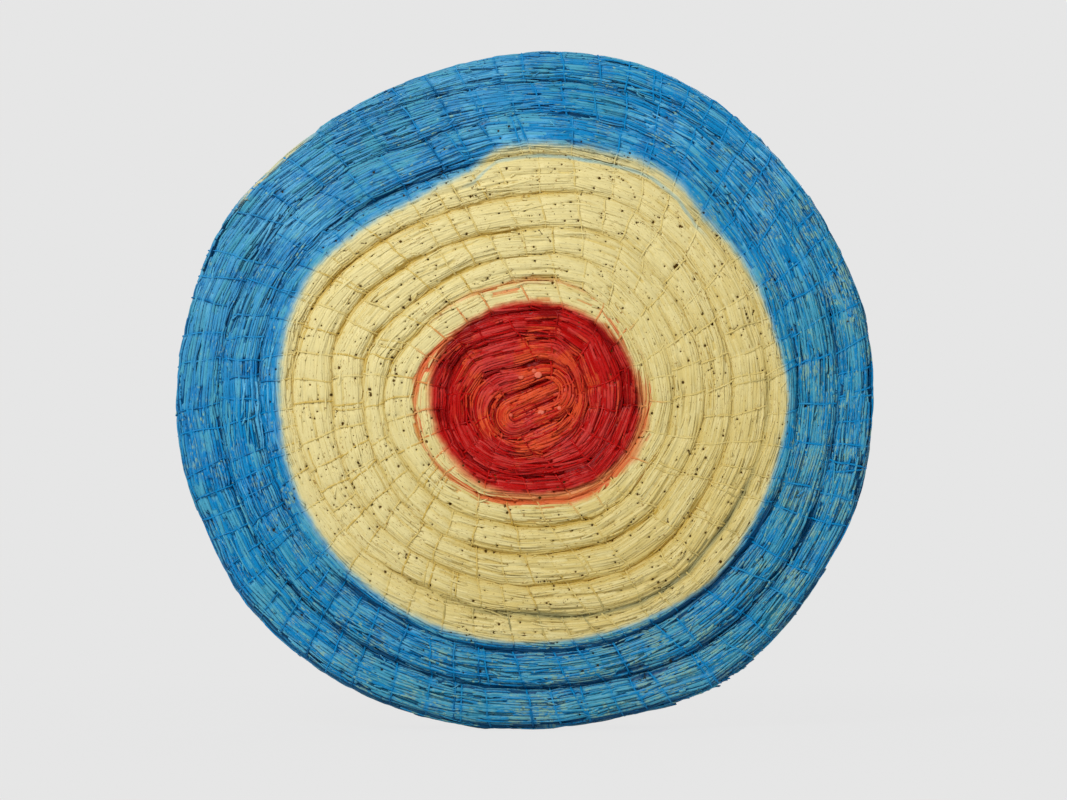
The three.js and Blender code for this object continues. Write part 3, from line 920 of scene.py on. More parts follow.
def loose_straws(soup, low, high, side, per_metre, stub_share):
    """Straws at random places over the section, at small angles to it, with ends that dip or stand out."""
    count = int(per_metre * (high - low))
    stub = random.uniform(0, 1, count) < stub_share
    start = random.uniform(low, high - 0.01, count)
    reach = np.where(stub, random.uniform(0.006, 0.014, count), random.uniform(0.014, 0.055, count))
    length = np.clip(laid_from(start, reach), 0, TOTAL)
    place = random.uniform(-0.93, 0.93, count)
    over = place * np.where(place > 0, reach_over(start, 1.0), reach_over(start, 0.0))
    turned = random.normal(0, 0.09, count) + stub * random.normal(0, 0.30, count)
    over = over[:, None] + veered(turned, reach)
    lift = random.uniform(-0.0009, 0.0002, count)[:, None] - ENDS_DIP
    lift = lift + (stub * random.uniform(0, 0.0030, count))[:, None] * RINGS_ALONG**2
    points, over_way, normal = on_rope(length, over, lift, side)
    add_straws(soup, points, over_way, normal, sunk=depth_share(points, length, over),
               masked=tail_masked(length, over), along=length, over=over)


def rim_straws(soup, count):
    """Loose straws round the rim, some with an end that stands off."""
    start, reach = random.uniform(rim_from, TOTAL - 0.08, count), random.uniform(0.012, 0.07, count)
    length = laid_from(start, reach)
    depth = random.uniform(-DEPTH + 0.008, -0.008, count)[:, None]
    depth = depth + veered(random.normal(0, 0.05, count), reach)
    stands = (random.uniform(0, 1, count) < 0.12) * random.uniform(0.001, 0.0035, count)
    lift = random.uniform(-0.0009, 0.0001, count)[:, None] - ENDS_DIP + stands[:, None] * RINGS_ALONG**3
    points, normal = rim_place(length, depth, lift)
    over_way = np.broadcast_to(np.array([0.0, 1.0, 0.0]), normal.shape)
    add_straws(soup, points, over_way, normal, sunk=0.1, along=length, over=depth)


# %% [markdown]
# ## Ragged and cut ends
# At the lower right straw ends stand off the shoulder, and in the core cut ends show in the face.
# These are odd enough to be placed one group at a time, where the photo has them.

# %% Ends at their places on the photo
def ragged_ends(soup, first, last, count, shortest=0.004, longest=0.017, turned=0.25, stand=0.0026):
    """Straw ends that stand off the outer shoulder between two places on the photograph."""
    low, high = (rope_length[np.linalg.norm(outer_groove - on_photo(*place), axis=1).argmin()]
                 for place in (first, last))
    start, reach = random.uniform(low, high, count), random.uniform(shortest, longest, count)
    over = (reach_over(start, 1.0) * random.uniform(0.62, 1.0, count))[:, None]
    over = over + veered(random.normal(0, turned, count), reach)
    lift = -0.0006 + (0.0006 + stand * random.uniform(0, 1, count) ** 3)[:, None] * RINGS_ALONG**2
    length = laid_from(start, reach)
    points, over_way, normal = on_rope(length, over, lift, FACE)
    size = random.uniform(0.0008, 0.0018, count)[:, None] * np.ones_like(RINGS_ALONG)
    soup.add_tubes(tubes_round(points, over_way, normal, size), shade=random.uniform(0, 0.6, count), wear=0.2,
                   sunk=0.7, along=length, over=over, hole_far=1.0)


def cut_ends(soup):
    """The core's straws end here and there in the face: domes over a short upright tube, at their places
    on the photograph, set on the nearest point of the skin."""
    skin_points = np.concatenate(core_points)
    heights, widths = np.array([-4, 0, 0.5, 0.9, 1.1]) * 0.001, np.array([0.9, 1.0, 0.9, 0.6, 0.2])
    for pixel_x, pixel_y, radius, shown in CUT_ENDS:
        x, z = on_photo(pixel_x, pixel_y)
        surface = skin_points[np.hypot(skin_points[:, 0] - x, skin_points[:, 2] - z).argmin(), 1]
        place = np.stack([np.full(5, x), surface - heights, np.full(5, z)], 1)[None]
        ways = [np.broadcast_to(np.array(way), place.shape) for way in ((1.0, 0, 0), (0, 0, 1.2))]
        soup.add_tubes(tubes_round(place, *ways, (widths * radius)[None], 12), shade=1.0, wear=0.5, cut=shown,
                       hole_far=1.0)


# %% [markdown]
# ## Laying the loose straws
# The outer turns and the core are the most ragged, so they get more than twice as many. The ragged ends lie
# between places read off the photo, and each cut end has its place there, its radius and how pale it shows,
# which is partly a painted glint.

# %% Lay them
CUT_ENDS = [(541, 412, 0.0040, 1.0), (548, 411, 0.0030, 0.6), (559, 408, 0.0026, 0.6),
            (565, 390, 0.0022, 0.5), (521, 377, 0.0034, 0.45), (538, 375, 0.0044, 0.75),
            (534, 371, 0.0028, 0.4), (505, 418, 0.0034, 0.5), (511, 415, 0.0024, 0.35),
            (526, 419, 0.0022, 0.35)]
loose = Soup()
for turn, (low, high) in enumerate(zip(turn_ends[:-1], turn_ends[1:])):
    loose_straws(loose, low, high, FACE, 250 if turn > 7 or turn < 3 else 90, 0.25)
ragged_ends(loose, (678, 698), (765, 655), 48)
ragged_ends(loose, (765, 655), (800, 610), 10)
ragged_ends(loose, (628, 714), (634, 713), 16, 0.046, 0.050, 0.02, 0.0030)
cut_ends(loose)
straw_piece(loose, "loose_straws_face")
loose = Soup()
loose_straws(loose, turn_ends[0], turn_ends[-1], BACK, 50, 0.15)
rim_straws(loose, 420)
straw_piece(loose, "loose_straws_back_and_rim")

# %% [markdown]
# ## Twine
# The lashing runs over the face of a turn, down the groove, over the back to the next stitch and up
# again. It is two plies twisted together, so its section is a rounded bar that turns as it goes. A
# sweep of that section along the whole route keeps the twist running on from stitch to stitch. Each
# needle length ends in a knot on the back, as the real ones do, with two short ends left standing.

# %% The twine's route
FACE_POINTS, BACK_POINTS, WALL_POINTS = 19, 13, 3


def stitch_routes(first, last):
    """Points of one needle length of stitches, in the order that the twine runs."""
    here = stitch_length[first:last]
    ahead = np.append(stitch_length[first + 1:last], stitch_length[last - 1] + 0.03)
    lead = stitch_lead[first:last]
    inner, outer = reach_over(here, 0.0), reach_over(here, 1.0)
    across = np.linspace(-1, 1, FACE_POINTS)[None]
    over = between_grooves(across, inner, outer)
    waver = 0.0013 * wander(here[:, None] * 40 + across * 2, 9, 1.0)
    sag = -0.0003 + 0.0004 * wander(here[:, None] * 60 + across * 3, 10, 1.0)
    face, _, face_up = on_rope(here[:, None] + lead[:, None] * over + waver, over, sag, FACE)
    across = np.linspace(1, -1, BACK_POINTS)[None]
    over = between_grooves(across, inner, outer)
    start, stop = here + lead * outer, ahead - lead * inner
    length = np.clip(start[:, None] + (stop - start)[:, None] * (1 - across) / 2, 0, TOTAL)
    back, _, back_up = on_rope(length, over, np.full(over.shape, 0.0008), BACK)
    steps = (np.arange(1, WALL_POINTS + 1) / (WALL_POINTS + 1))[None, :, None]
    down = face[:, -1:] + (back[:, :1] - face[:, -1:]) * steps
    next_face = np.concatenate([face[1:, :1], back[-1:, -1:]], 0)
    rise = back[:, -1:] + (next_face - back[:, -1:]) * steps
    points = np.concatenate([face, down, back, rise], 1)
    normals = np.concatenate([face_up, np.repeat(face_up[:, -1:], WALL_POINTS, 1),
                              back_up, np.repeat(back_up[:, -1:], WALL_POINTS, 1)], 1)
    return points.reshape(-1, 3)[:-WALL_POINTS], normals.reshape(-1, 3)[:-WALL_POINTS]


# %% [markdown]
# ## Lashing and knots
# The section is swept along each route. Each length lashes half a turn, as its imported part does, and
# the first lashes the whole core. The knot and its ends are short runs of the same twine.

# %% Lash the turns
TWINE_RADIUS, TWIST_LENGTH, TWINE_SIDES = 0.0011, 0.012, 8
PLY_BULGE, CUT_SHARE = 0.2, 0.6
KNOT_SIZE, KNOT_LIFT, PAST_STITCH = 0.0036, 0.0016, 0.012
FIRST_CHANGE, CHANGES = 30.5, 20


def unit(vectors):
    return vectors / (np.linalg.norm(vectors, axis=-1, keepdims=True) + 1e-12)


def sweep_twine(points, normals):
    """Rings of a two-ply twine: radius times 1 + 0.2 cos twice the angle, turned by the length run."""
    ahead = unit(np.gradient(points, axis=0))
    side = unit(np.cross(ahead, normals))
    up = np.cross(side, ahead)
    run = np.concatenate([[0], np.cumsum(np.linalg.norm(np.diff(points, axis=0), axis=1))])
    around = 2 * np.pi * np.arange(TWINE_SIDES) / TWINE_SIDES
    twisted = around[None] - 2 * np.pi * run[:, None] / TWIST_LENGTH
    size = TWINE_RADIUS * (1 + PLY_BULGE * np.cos(2 * twisted))
    size[[0, -1]] *= CUT_SHARE
    rings = points[:, None] + (size * np.cos(around))[..., None] * side[:, None]
    return (rings + (size * np.sin(around))[..., None] * up[:, None])[None], run


def knot_points(place, forward, up):
    """An overhand knot drawn as a trefoil: sin t + 2 sin 2t forward, cos t - 2 cos 2t sideways, and
    -sin 3t up."""
    turn = np.linspace(0, 2 * np.pi, 37)
    ahead = (np.sin(turn) + 2 * np.sin(2 * turn)) * KNOT_SIZE / 3
    beside = (np.cos(turn) - 2 * np.cos(2 * turn)) * KNOT_SIZE / 3
    height = -np.sin(3 * turn) * KNOT_SIZE / 3 + KNOT_LIFT
    return place + ahead[:, None] * forward + beside[:, None] * np.cross(up, forward) + height[:, None] * up


def add_twine(soup, points, normals, number):
    """One run of twine. Its sunk value gives it the grooves' painted shade, most on the left and in waves
    along its run.
    """
    rings, run = sweep_twine(points, normals)
    sunk = 0.66 - 0.42 * smoothstep(points[:, 0], -0.12, 0.22) + 0.20 * np.sin(run / 0.07 + 2 * number)
    soup.add_tubes(rings, shade=(0.25 + 0.25 * np.sin(run / 0.11 + number))[None], wear=0.3, sunk=sunk[None],
                   filled=1.0, along=run[None], hole_far=1.0)


def twine_piece(number, first, last):
    """One needle length: its stitches, and past the last one a knot with two short ends."""
    soup = Soup()
    add_twine(soup, *stitch_routes(first, last), number)
    length = np.array([stitch_length[last - 1] + PAST_STITCH])
    place, across, up = (found[0] for found in on_rope(length, np.array([0.004]), np.array([0.0012]), BACK))
    forward = np.cross(across, up)
    knot = knot_points(place, forward, up)
    add_twine(soup, knot, np.repeat(up[None], len(knot), 0), number)
    share = np.linspace(0, 1, 8)[:, None]
    for way in (-1, 1):
        end = place + way * (0.003 + 0.013 * share) * forward + 0.003 * np.sin(3 * share + way) * across
        end = end + (0.0022 * share + 0.0012) * up
        add_twine(soup, end, np.repeat(up[None], len(end), 0), number + way)
    piece = soup.make(f"lashing_{number:02d}")
    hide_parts(f"twine_length_{number:02d}")
    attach(piece, "root")
    twine_pieces.append(piece)


starts = [0.0, *(FIRST_CHANGE + HALF_TURN * number for number in range(CHANGES)), math.inf]
for number in range(len(starts) - 1):
    mine = np.nonzero((stitch_places >= starts[number]) & (stitch_places < starts[number + 1]))[0]
    twine_piece(number + 1, mine[0], mine[-1] + 1)
print("triangles in all:", sum(made_triangles))

# %% [markdown]
# ## Shader expressions
# A material here mixes many values, and sockets linked one by one are hard to read. A small class
# wraps a socket, so that 1 - mask * 0.5 adds its own Math nodes. Another holds the node tree.

# %% Sockets that can be added and multiplied
class Wire:
    """A shader socket that works in sums."""

    def __init__(self, shader, socket):
        self.shader, self.socket = shader, socket

    def _math(self, operation, first, second):
        return self.shader.node("ShaderNodeMath", {"operation": operation}, {0: first, 1: second})

    def __add__(self, other):
        return self._math("ADD", self, other)

    def __sub__(self, other):
        return self._math("SUBTRACT", self, other)

    def __rsub__(self, other):
        return self._math("SUBTRACT", other, self)

    def __mul__(self, other):
        return self._math("MULTIPLY", self, other)

    __radd__, __rmul__ = __add__, __mul__


class Shader:
    """The node tree of a material or a world."""

    def __init__(self, owner):
        owner.use_nodes = True
        self.owner, self.tree = owner, owner.node_tree
        self.tree.nodes.clear()

    def node(self, kind, settings=None, sockets=None, output=0):
        """Adds a node: its settings first, then its sockets' values or links. Returns an output."""
        made = self.tree.nodes.new(kind)
        for name, value in (settings or {}).items():
            setattr(made, name, value)
        for name, value in (sockets or {}).items():
            if isinstance(value, Wire):
                self.tree.links.new(value.socket, made.inputs[name])
            else:
                made.inputs[name].default_value = value
        return Wire(self, made.outputs[output]) if made.outputs else made

    def value(self, name):
        """A value that the mesh stores at its points."""
        return self.node("ShaderNodeAttribute", {"attribute_name": name}, output="Fac")

    def part(self, vector, axis):
        """One coordinate of a vector."""
        return self.node("ShaderNodeSeparateXYZ", {}, {0: vector}, axis)

    def step(self, value, low, high):
        """0 below low, 1 above high and smooth between."""
        return self.node("ShaderNodeMapRange", {"interpolation_type": "SMOOTHSTEP"},
                         {"Value": value, "From Min": low, "From Max": high})

    def blend(self, share, first, second):
        """A colour between two colours."""
        return self.node("ShaderNodeMix", {"data_type": "RGBA"},
                         {"Factor": share, "A": first, "B": second}, "Result")

    def noise(self, vector, scale, detail, roughness=0.5):
        """Uneven patches from 0 to 1, finer with a larger scale."""
        return self.node("ShaderNodeTexNoise", {}, {"Vector": vector, "Scale": scale, "Detail": detail,
                                                    "Roughness": roughness}, "Fac")


# %% [markdown]
# ## What the paints share
# Straw and twine were sprayed in place, so one kind of material serves both. It reads the values
# stored at the points, and adds patterns of its own: streaks and dashes drawn out along the straws,
# slow drifts and patches, fine grain, and a spray that makes the paint's edges soft and uneven.
# hollow says how far a place lies down between straws or turns, with some noise. The paints darken with it:
# painted shade in creases and grooves, and in the cream thinner paint as well.

# %% Values and patterns
class Coat(Shader):
    """A painted material, with the values and patterns that its paints share."""

    def __init__(self, name):
        super().__init__(bpy.data.materials.new(name))
        self.place = self.node("ShaderNodeTexCoord", output="Object")
        self.x, self.depth, self.z = (self.part(self.place, axis) for axis in "XYZ")
        self.along, self.over, self.shade, self.wear = map(self.value, ("along", "over", "shade", "wear"))
        self.gap, self.filled, self.masked = map(self.value, ("gap", "filled", "masked"))
        self.past_red, self.past_glow, self.past_blue = map(self.value, PAINT_EDGES)
        self.sunk = self.value("sunk") * (1 - self.masked * 0.8)
        self.streak = self.fibres(70.0, 1300.0, self.shade * 40.0, 3.0)
        self.dash = self.step(self.fibres(260.0, 900.0, 3.0, 1.0), 0.60, 0.70)
        self.drift = self.noise(self.place, 9.0, 2.0)
        self.patch = self.noise(self.place, 34.0, 3.0)
        self.grain = self.noise(self.place, 420.0, 2.0)
        self.spray = (self.noise(self.place, 60.0, 3.0, 0.65) - 0.5) * 0.010
        self.low_right = self.step(self.x - self.z, -0.40, 0.42)
        self.at_right = self.step(self.x - self.z, 0.05, 0.30)
        self.hollow = (self.gap * (1 - self.filled * 0.7) * 0.50 + self.sunk * 0.90
                       + (self.streak - 0.5) * 0.45 + (self.patch - 0.5) * 0.5)

    def fibres(self, along, over, third, detail, scale=1.0):
        """Noise drawn out along the straws: the length and the place over the section, each scaled."""
        place = self.node("ShaderNodeCombineXYZ", {},
                          {"X": self.along * along, "Y": self.over * over, "Z": third})
        return self.noise(place, scale, detail)


# %% [markdown]
# ## Cream
# The cream paint is palest on the crowns, and darker and more ochre towards the lower right. In the creases
# it turns ochre and in the deepest hollows umber: thinner paint there, and painted shade that grows with
# depth. Umber nicks run along the straws. Red spray reached into its inner turns, and blue spray into its
# outer ones, most of all at the lower right and at the top, where a second faint line runs inside the blue
# edge.

# %% Cream paint
CREAM, CREAM_PALE = (0.700, 0.555, 0.190, 1), (0.800, 0.690, 0.320, 1)
OCHRE, UMBER = (0.55, 0.340, 0.026, 1), (0.29, 0.140, 0.008, 1)
RED_ORANGE, TEAL = (0.75, 0.085, 0.022, 1), (0.032, 0.285, 0.39, 1)
OVERSPRAY, BLUE_EDGING = (0.200, 0.235, 0.140, 1), (0.23, 0.50, 0.56, 1)


def cream_paint(coat):
    """Cream, ochre and umber, then the red and blue spray at its edges."""
    step, blend = coat.step, coat.blend
    # Paler on crowns and streaks, darker with depth and towards the lower right. Ochre and umber in creases
    # and hollows are partly thinner paint and partly painted shade.
    pale = coat.streak * 0.45 + coat.shade * 0.25 + coat.patch * 0.3 - coat.sunk * 0.5 - coat.low_right * 0.35
    cream = blend(step(pale, -0.05, 0.45), CREAM, CREAM_PALE)
    in_cream = coat.hollow + coat.low_right * 0.12
    cream = blend(step(in_cream + coat.dash * 0.50, 0.38, 1.20) * 0.85, cream, OCHRE)
    cream = blend(step(in_cream + coat.dash * 0.35, 1.15, 1.65) * 0.75, cream, UMBER)
    nicks = coat.fibres(260.0, 900.0, 3.0, 1.0, 0.9) + (coat.patch - 0.5) * 0.25
    cream = blend(step(nicks, 0.675, 0.725) * 0.7, cream, UMBER)
    orange = step(coat.past_red + coat.spray, 0.036, 0.011) * step(coat.hollow + coat.sunk * 0.6, 0.36, 0.78)
    cream = blend(orange * (1 - coat.filled * 0.4) * 0.85, cream, RED_ORANGE)
    band = step(coat.past_blue, -0.048, -0.036) * step(coat.past_blue, -0.008, -0.018)
    band = band * step(coat.x - coat.z, -0.02, 0.30) * step(coat.sunk + (coat.patch - 0.5) * 0.4, 0.10, 0.80)
    cream = blend(band * 0.72, cream, OVERSPRAY)
    return blend(step(coat.past_blue + coat.spray, -0.016, 0.0) * (0.08 + coat.gap * 0.25), cream, TEAL)


def sprayed_at_top(coat, cream):
    """Mist and a faint line of blue over the cream at the top, in past_blue's millimetres."""
    step = coat.step
    at_top = step(coat.z, 0.180, 0.215) * step(coat.x, -0.090, -0.050)
    misted = step(coat.past_blue + coat.spray, -0.0150, -0.0070)
    misted = misted * step(coat.streak + coat.patch * 0.5, 0.60, 0.95)
    cream = coat.blend(at_top * misted * 0.45, cream, OVERSPRAY)
    line_out = coat.past_blue + coat.spray * 0.4
    faint_line = step(line_out, -0.0182, -0.0155) * step(line_out, -0.0112, -0.0140)
    return coat.blend(at_top * faint_line * (0.10 + coat.patch * 0.85), cream, BLUE_EDGING)


# %% [markdown]
# ## Red and blue
# The red is bright in the middle, its pink straws partly a painted highlight, and deep in thick patches near
# its edge and, as painted shade, in the creases. The blue is worn off single straws, thick in places, teal
# where it drifts into the cream and paler towards the upper left. As painted shade it turns nearly black down
# in the grooves and on what faces down, and as painted light it is paler on what faces up.

# %% Red and blue paint
RED, RED_THICK_AND_SHADED, RED_PINK_AND_SHEEN = (0.50, 0.004, 0.003, 1), (0.27, 0.0002, 0.0006, 1), (0.62, 0.044, 0.036, 1)
GLOW, CUT_END_AND_GLINT = (0.74, 0.19, 0.055, 1), (0.85, 0.27, 0.19, 1)
BLUE, BLUE_SHADED, BLUE_PALE = (0.002, 0.240, 0.55, 1), (0.0002, 0.062, 0.180, 1), (0.190, 0.610, 0.92, 1)
BLUE_THICK, WORN, PALE_GREY_BLUE = (0.001, 0.185, 0.54, 1), (0.27, 0.48, 0.35, 1), (0.15, 0.44, 0.60, 1)


def red_paint(coat):
    """Red with pink and orange straws, the pink partly a painted highlight, deep red where the paint is thick
    and as painted shade where it is hollow, and pale cut ends, partly a painted glint.
    """
    step, blend = coat.step, coat.blend
    inmost = step(coat.past_red, -0.030, -0.065)
    # The bright pink straws are partly a painted highlight, in place of the gloss's shine.
    bright = step(inmost * 0.11 + coat.patch * 0.6 + coat.drift * 0.4, 0.50, 0.63)
    bright = blend(bright, RED_PINK_AND_SHEEN, RED_ORANGE)
    red = blend(step(coat.shade * 0.7 + coat.streak * 0.9 + inmost * 0.3, 0.68, 1.2), RED, bright)
    thick = step(coat.past_red + (coat.patch - 0.5) * 0.05, -0.022, -0.006)
    thick = thick * step(coat.drift + coat.patch * 0.5, 0.70, 0.82)
    # Painted shade: hollows, creases and dashes darken the red to deep red, as its thick patches do.
    deep = coat.hollow + coat.gap * 0.6 + coat.dash * 0.65 + thick * 0.6
    red = blend(step(deep, 0.38, 0.90) * 0.95, red, RED_THICK_AND_SHADED)
    # The pale pink of the cut ends is partly a painted glint on their glossy ends.
    return blend(coat.value("cut") * (0.30 + coat.grain * 0.75), red, CUT_END_AND_GLINT)


def blue_paint(coat):
    """Blue, pale on single straws and towards the upper left, then teal, thick paint and wear, paler on what
    faces up as painted light, and near black as painted shade in the grooves and on what faces down.
    """
    step, blend = coat.step, coat.blend
    bare_of_twine = 1 - coat.filled
    blue = blend(step(coat.shade * 0.8 + coat.streak * 0.9, 0.72, 1.25), BLUE, BLUE_PALE)
    # Paler towards the upper left.
    blue = blend(step(coat.z - coat.x, 0.28, 0.52) * 0.40, blue, PALE_GREY_BLUE)
    teal = coat.drift + (coat.shade - 0.5) * 0.5 + coat.low_right * 0.12
    blue = blend(step(teal, 0.42, 0.72) * 0.7, blue, TEAL)
    blue = blend(step(coat.patch - coat.low_right * 0.08, 0.50, 0.60) * 0.5, blue, BLUE_THICK)
    worn = coat.fibres(130.0, 1000.0, 9.0, 2.0) * 1.2 + (coat.patch - 0.5) * 0.7 + coat.wear * 0.15
    blue = blend(step(worn + coat.low_right * 0.14, 0.84, 0.98) * 0.8 * bare_of_twine, blue, WORN)
    # Painted light: what faces up is blended paler, as if lit from above.
    faces_up = coat.part(coat.node("ShaderNodeNewGeometry", output="Normal"), "Z")
    blue = blend(step(faces_up, 0.25, 0.75) * 0.45 * bare_of_twine, blue, PALE_GREY_BLUE)
    blue = blend(coat.filled * (0.35 + coat.patch * 0.5), blue, BLUE)
    # Painted shade: creases, grooves, what faces down and the first groove at the right darken the blue to
    # near black.
    first_groove = coat.at_right * step(coat.past_blue, -0.001, 0.003) * step(coat.past_blue, 0.012, 0.007)
    in_deep = coat.hollow + coat.gap * 0.52 + coat.dash * 0.60 * bare_of_twine
    in_deep = in_deep - faces_up * 0.3 + first_groove * coat.sunk * 0.7
    return blend(step(in_deep, 0.38, 1.0) * 0.94, blue, BLUE_SHADED)


# %% [markdown]
# ## Holes, and all paints together
# Arrow holes are drawn from the middle and radius stored at the points round them, and small specks come from
# a cell pattern. Both are painted dark, as brown straw and painted shade inside the holes, near black in the
# blue. Behind a soft edge a little way round the rim no paint reached the straw.
# The tail's outer part was masked by something, so it stayed cream.

# %% Holes, layers and the two materials
HOLE, HOLE_SHADE_IN_BLUE = (0.115, 0.058, 0.006, 1), (0.018, 0.036, 0.034, 1)
GLOSS = 0.15


def arrow_hole_mask(coat):
    """1 inside a hole: the distance to the stored middle, less the radius, made ragged by grain."""
    aside, above = coat.x - coat.value("hole_x"), coat.z - coat.value("hole_z")
    away = coat.node("ShaderNodeMath", {"operation": "SQRT"}, {0: aside * aside + above * above})
    past = away - coat.value("hole_radius") * (0.25 + coat.grain * 1.5)
    return coat.step(past, 0.00035, -0.00025) * coat.step(coat.value("hole_far"), 0.0019, 0.0013)


def layers(coat, bare):
    """Colour, roughness and height: cream, then red and blue over it, then bare straw and holes."""
    step, blend = coat.step, coat.blend
    colour = sprayed_at_top(coat, cream_paint(coat))
    colour = blend(step(coat.past_glow + coat.spray, 0.0040, -0.0060) * 0.75, colour, GLOW)
    colour = blend(step(coat.past_red + coat.spray, 0.0060, -0.0045), colour, red_paint(coat))
    not_masked = 1 - coat.masked * 0.9
    into_blue = coat.past_blue + coat.spray * (1 - coat.at_right * 0.5) + (coat.streak - 0.5) * 0.005
    into_blue = into_blue * (1.3 + coat.at_right * 0.8)
    colour = blend(step(into_blue, -0.0095, 0.0040) * 0.85 * not_masked, colour, BLUE_EDGING)
    in_blue = step(into_blue, -0.0050, 0.0090) * not_masked
    colour = blend(in_blue, colour, blue_paint(coat))
    unpainted = step(coat.depth + (coat.drift - 0.5) * 0.05, -0.070, -0.025)
    # Painted shade: bare straw turns umber in its hollows and creases.
    bare = blend(step(coat.hollow + coat.gap * 0.5, 0.3, 1.2) * 0.85, bare, UMBER)
    colour = blend(unpainted, colour, bare)
    to_speck = coat.node("ShaderNodeTexVoronoi", {}, {"Vector": coat.place, "Scale": 95.0}, "Distance")
    chance = step(coat.noise(coat.place, 26.0, 2.0), 0.44, 0.50) * step(coat.past_red, -0.010, 0.004)
    specks = step(to_speck + (coat.grain - 0.5) * 0.1, 0.085, 0.055) * chance * (1 - unpainted)
    holes = coat.node("ShaderNodeMath", {"operation": "MAXIMUM"},
                      {0: specks * 0.75, 1: arrow_hole_mask(coat)})
    # The holes are painted dark: brown straw and painted shade, near black in the blue.
    colour = blend(holes, colour, blend(in_blue * 0.75, HOLE, HOLE_SHADE_IN_BLUE))
    roughness = 0.17 + coat.grain * 0.18 + coat.shade * 0.06 + unpainted * 0.35 + holes * 0.4
    rough_there = 0.55 + in_blue * 0.7 + step(coat.past_red, 0.004, -0.004) * 0.9 + unpainted * 0.5
    return colour, roughness, (coat.grain + coat.streak * 1.8) * rough_there


def finish(name, bare_low, bare_high, pieces):
    """Gives pieces a material whose bare colour runs between two colours, under the paint."""
    coat = Coat(name)
    colour, roughness, height = layers(coat, coat.blend(coat.shade, bare_low, bare_high))
    bump = coat.node("ShaderNodeBump", {}, {"Strength": 0.5, "Distance": 0.0004, "Height": height}, "Normal")
    surface = coat.node("ShaderNodeBsdfPrincipled", {}, {
        "Base Color": colour, "Roughness": roughness, "Normal": bump, "Specular IOR Level": GLOSS}, "BSDF")
    coat.node("ShaderNodeOutputMaterial", {}, {"Surface": surface})
    for piece in pieces:
        piece.data.materials.append(coat.owner)
    print(name, "on", len(pieces), "pieces:", len(coat.tree.nodes), "nodes")


finish("painted_straw", (0.38, 0.245, 0.085, 1), (0.80, 0.62, 0.33, 1), straw_pieces)
finish("painted_twine", (0.38, 0.27, 0.13, 1), (0.50, 0.38, 0.21, 1), twine_pieces)

# %% [markdown]
# ## Floor
# The photograph is a plain studio shot on pale grey. The camera sees the floor nearly as flat grey,
# with only a trace of the shadow near the boss.

# %% Floor
PALE = (0.791, 0.791, 0.791, 1)
FLOOR_REACH = 40.0
low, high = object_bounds()
corners = [(x * FLOOR_REACH, y * FLOOR_REACH, low.z) for x, y in ((-1, -1), (1, -1), (1, 1), (-1, 1))]
floor_mesh = bpy.data.meshes.new("floor")
floor_mesh.from_pydata(corners, [], [(0, 1, 2, 3)])
floor = bpy.data.objects.new("floor", floor_mesh)
bpy.context.scene.collection.objects.link(floor)
ground = Shader(bpy.data.materials.new("floor"))
lit = ground.node("ShaderNodeBsdfDiffuse", {}, {"Color": PALE}, "BSDF")
plain = ground.node("ShaderNodeEmission", {}, {"Color": PALE, "Strength": 1.0}, "Emission")
away = ground.node("ShaderNodeVectorMath", {"operation": "LENGTH"},
                   {0: ground.node("ShaderNodeTexCoord", output="Object")}, "Value")
camera_ray = ground.node("ShaderNodeLightPath", output="Is Camera Ray")
share = camera_ray * (0.965 + ground.step(away, 0.5, 1.1) * 0.035)
shown = ground.node("ShaderNodeMixShader", {}, {0: share, 1: lit, 2: plain}, "Shader")
ground.node("ShaderNodeOutputMaterial", {}, {"Surface": shown})
floor_mesh.materials.append(ground.owner)
print("floor at height", round(low.z, 4))

# %% [markdown]
# ## Light
# A large soft light hangs high on the left, and another behind. The pale surroundings fill the rest.
# Shiny paint mirrors darker surroundings than that, or it would look dusty.

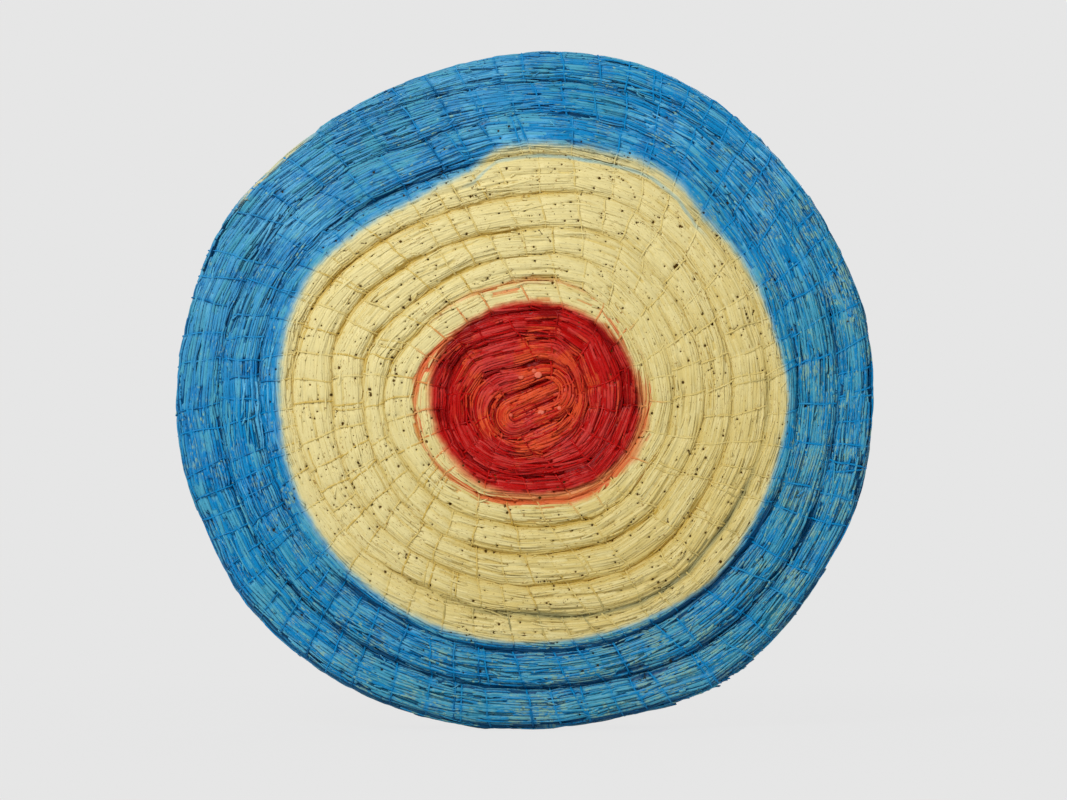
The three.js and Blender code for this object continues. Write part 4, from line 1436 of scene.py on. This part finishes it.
# %% Light
world = bpy.data.worlds.new("studio")
bpy.context.scene.world = world
studio = Shader(world)
backdrop = studio.node("ShaderNodeBackground", {}, {"Color": PALE})
fill = studio.node("ShaderNodeBackground", {}, {"Color": (1, 1, 1, 1), "Strength": 0.53})
reflected = studio.node("ShaderNodeBackground", {}, {"Strength": 0.10})
glossy_ray = studio.node("ShaderNodeLightPath", output="Is Glossy Ray")
camera_ray = studio.node("ShaderNodeLightPath", output="Is Camera Ray")
unlit = studio.node("ShaderNodeMixShader", {}, {0: glossy_ray, 1: fill, 2: reflected})
mixed = studio.node("ShaderNodeMixShader", {}, {0: camera_ray, 1: unlit, 2: backdrop})
studio.node("ShaderNodeOutputWorld", {}, {"Surface": mixed})


def soft_light(name, place, size, power):
    """A square area light that looks at the middle of the boss."""
    data = bpy.data.lights.new(name, "AREA")
    data.shape, data.size, data.energy = "SQUARE", size, power
    lamp = bpy.data.objects.new(name, data)
    bpy.context.scene.collection.objects.link(lamp)
    lamp.location = place
    lamp.rotation_mode = "QUATERNION"
    lamp.rotation_quaternion = (-lamp.location).to_track_quat("-Z", "Y")


soft_light("key", (-1.1, -2.1, 1.7), 1.0, 44)
soft_light("back_fill", (1.5, 3.0, 1.8), 2.0, 40)

# %% [markdown]
# ## Camera
# The photograph was taken square from the front, so the camera is level and far off, with a long
# lens. Its width of view is the photograph's width in pixels times a pixel's size.

# %% Camera
PHOTO_WIDTH, PHOTO_HEIGHT = 1067, 800
CAMERA_DISTANCE = 5.0
photo_middle = on_photo(PHOTO_WIDTH / 2, PHOTO_HEIGHT / 2)
camera_data = bpy.data.cameras.new("camera")
camera_data.sensor_width, camera_data.clip_end = 36, 100
camera_data.lens = camera_data.sensor_width * CAMERA_DISTANCE / (PHOTO_WIDTH * PIXEL)
camera = bpy.data.objects.new("camera", camera_data)
bpy.context.scene.collection.objects.link(camera)
camera.location = (photo_middle[0], -DEPTH / 2 - CAMERA_DISTANCE, photo_middle[1])
camera.rotation_euler = (math.pi / 2, 0, 0)
bpy.context.scene.camera = camera
bpy.context.scene.view_settings.view_transform = "Standard"
print("camera lens:", round(camera_data.lens, 1), "mm")
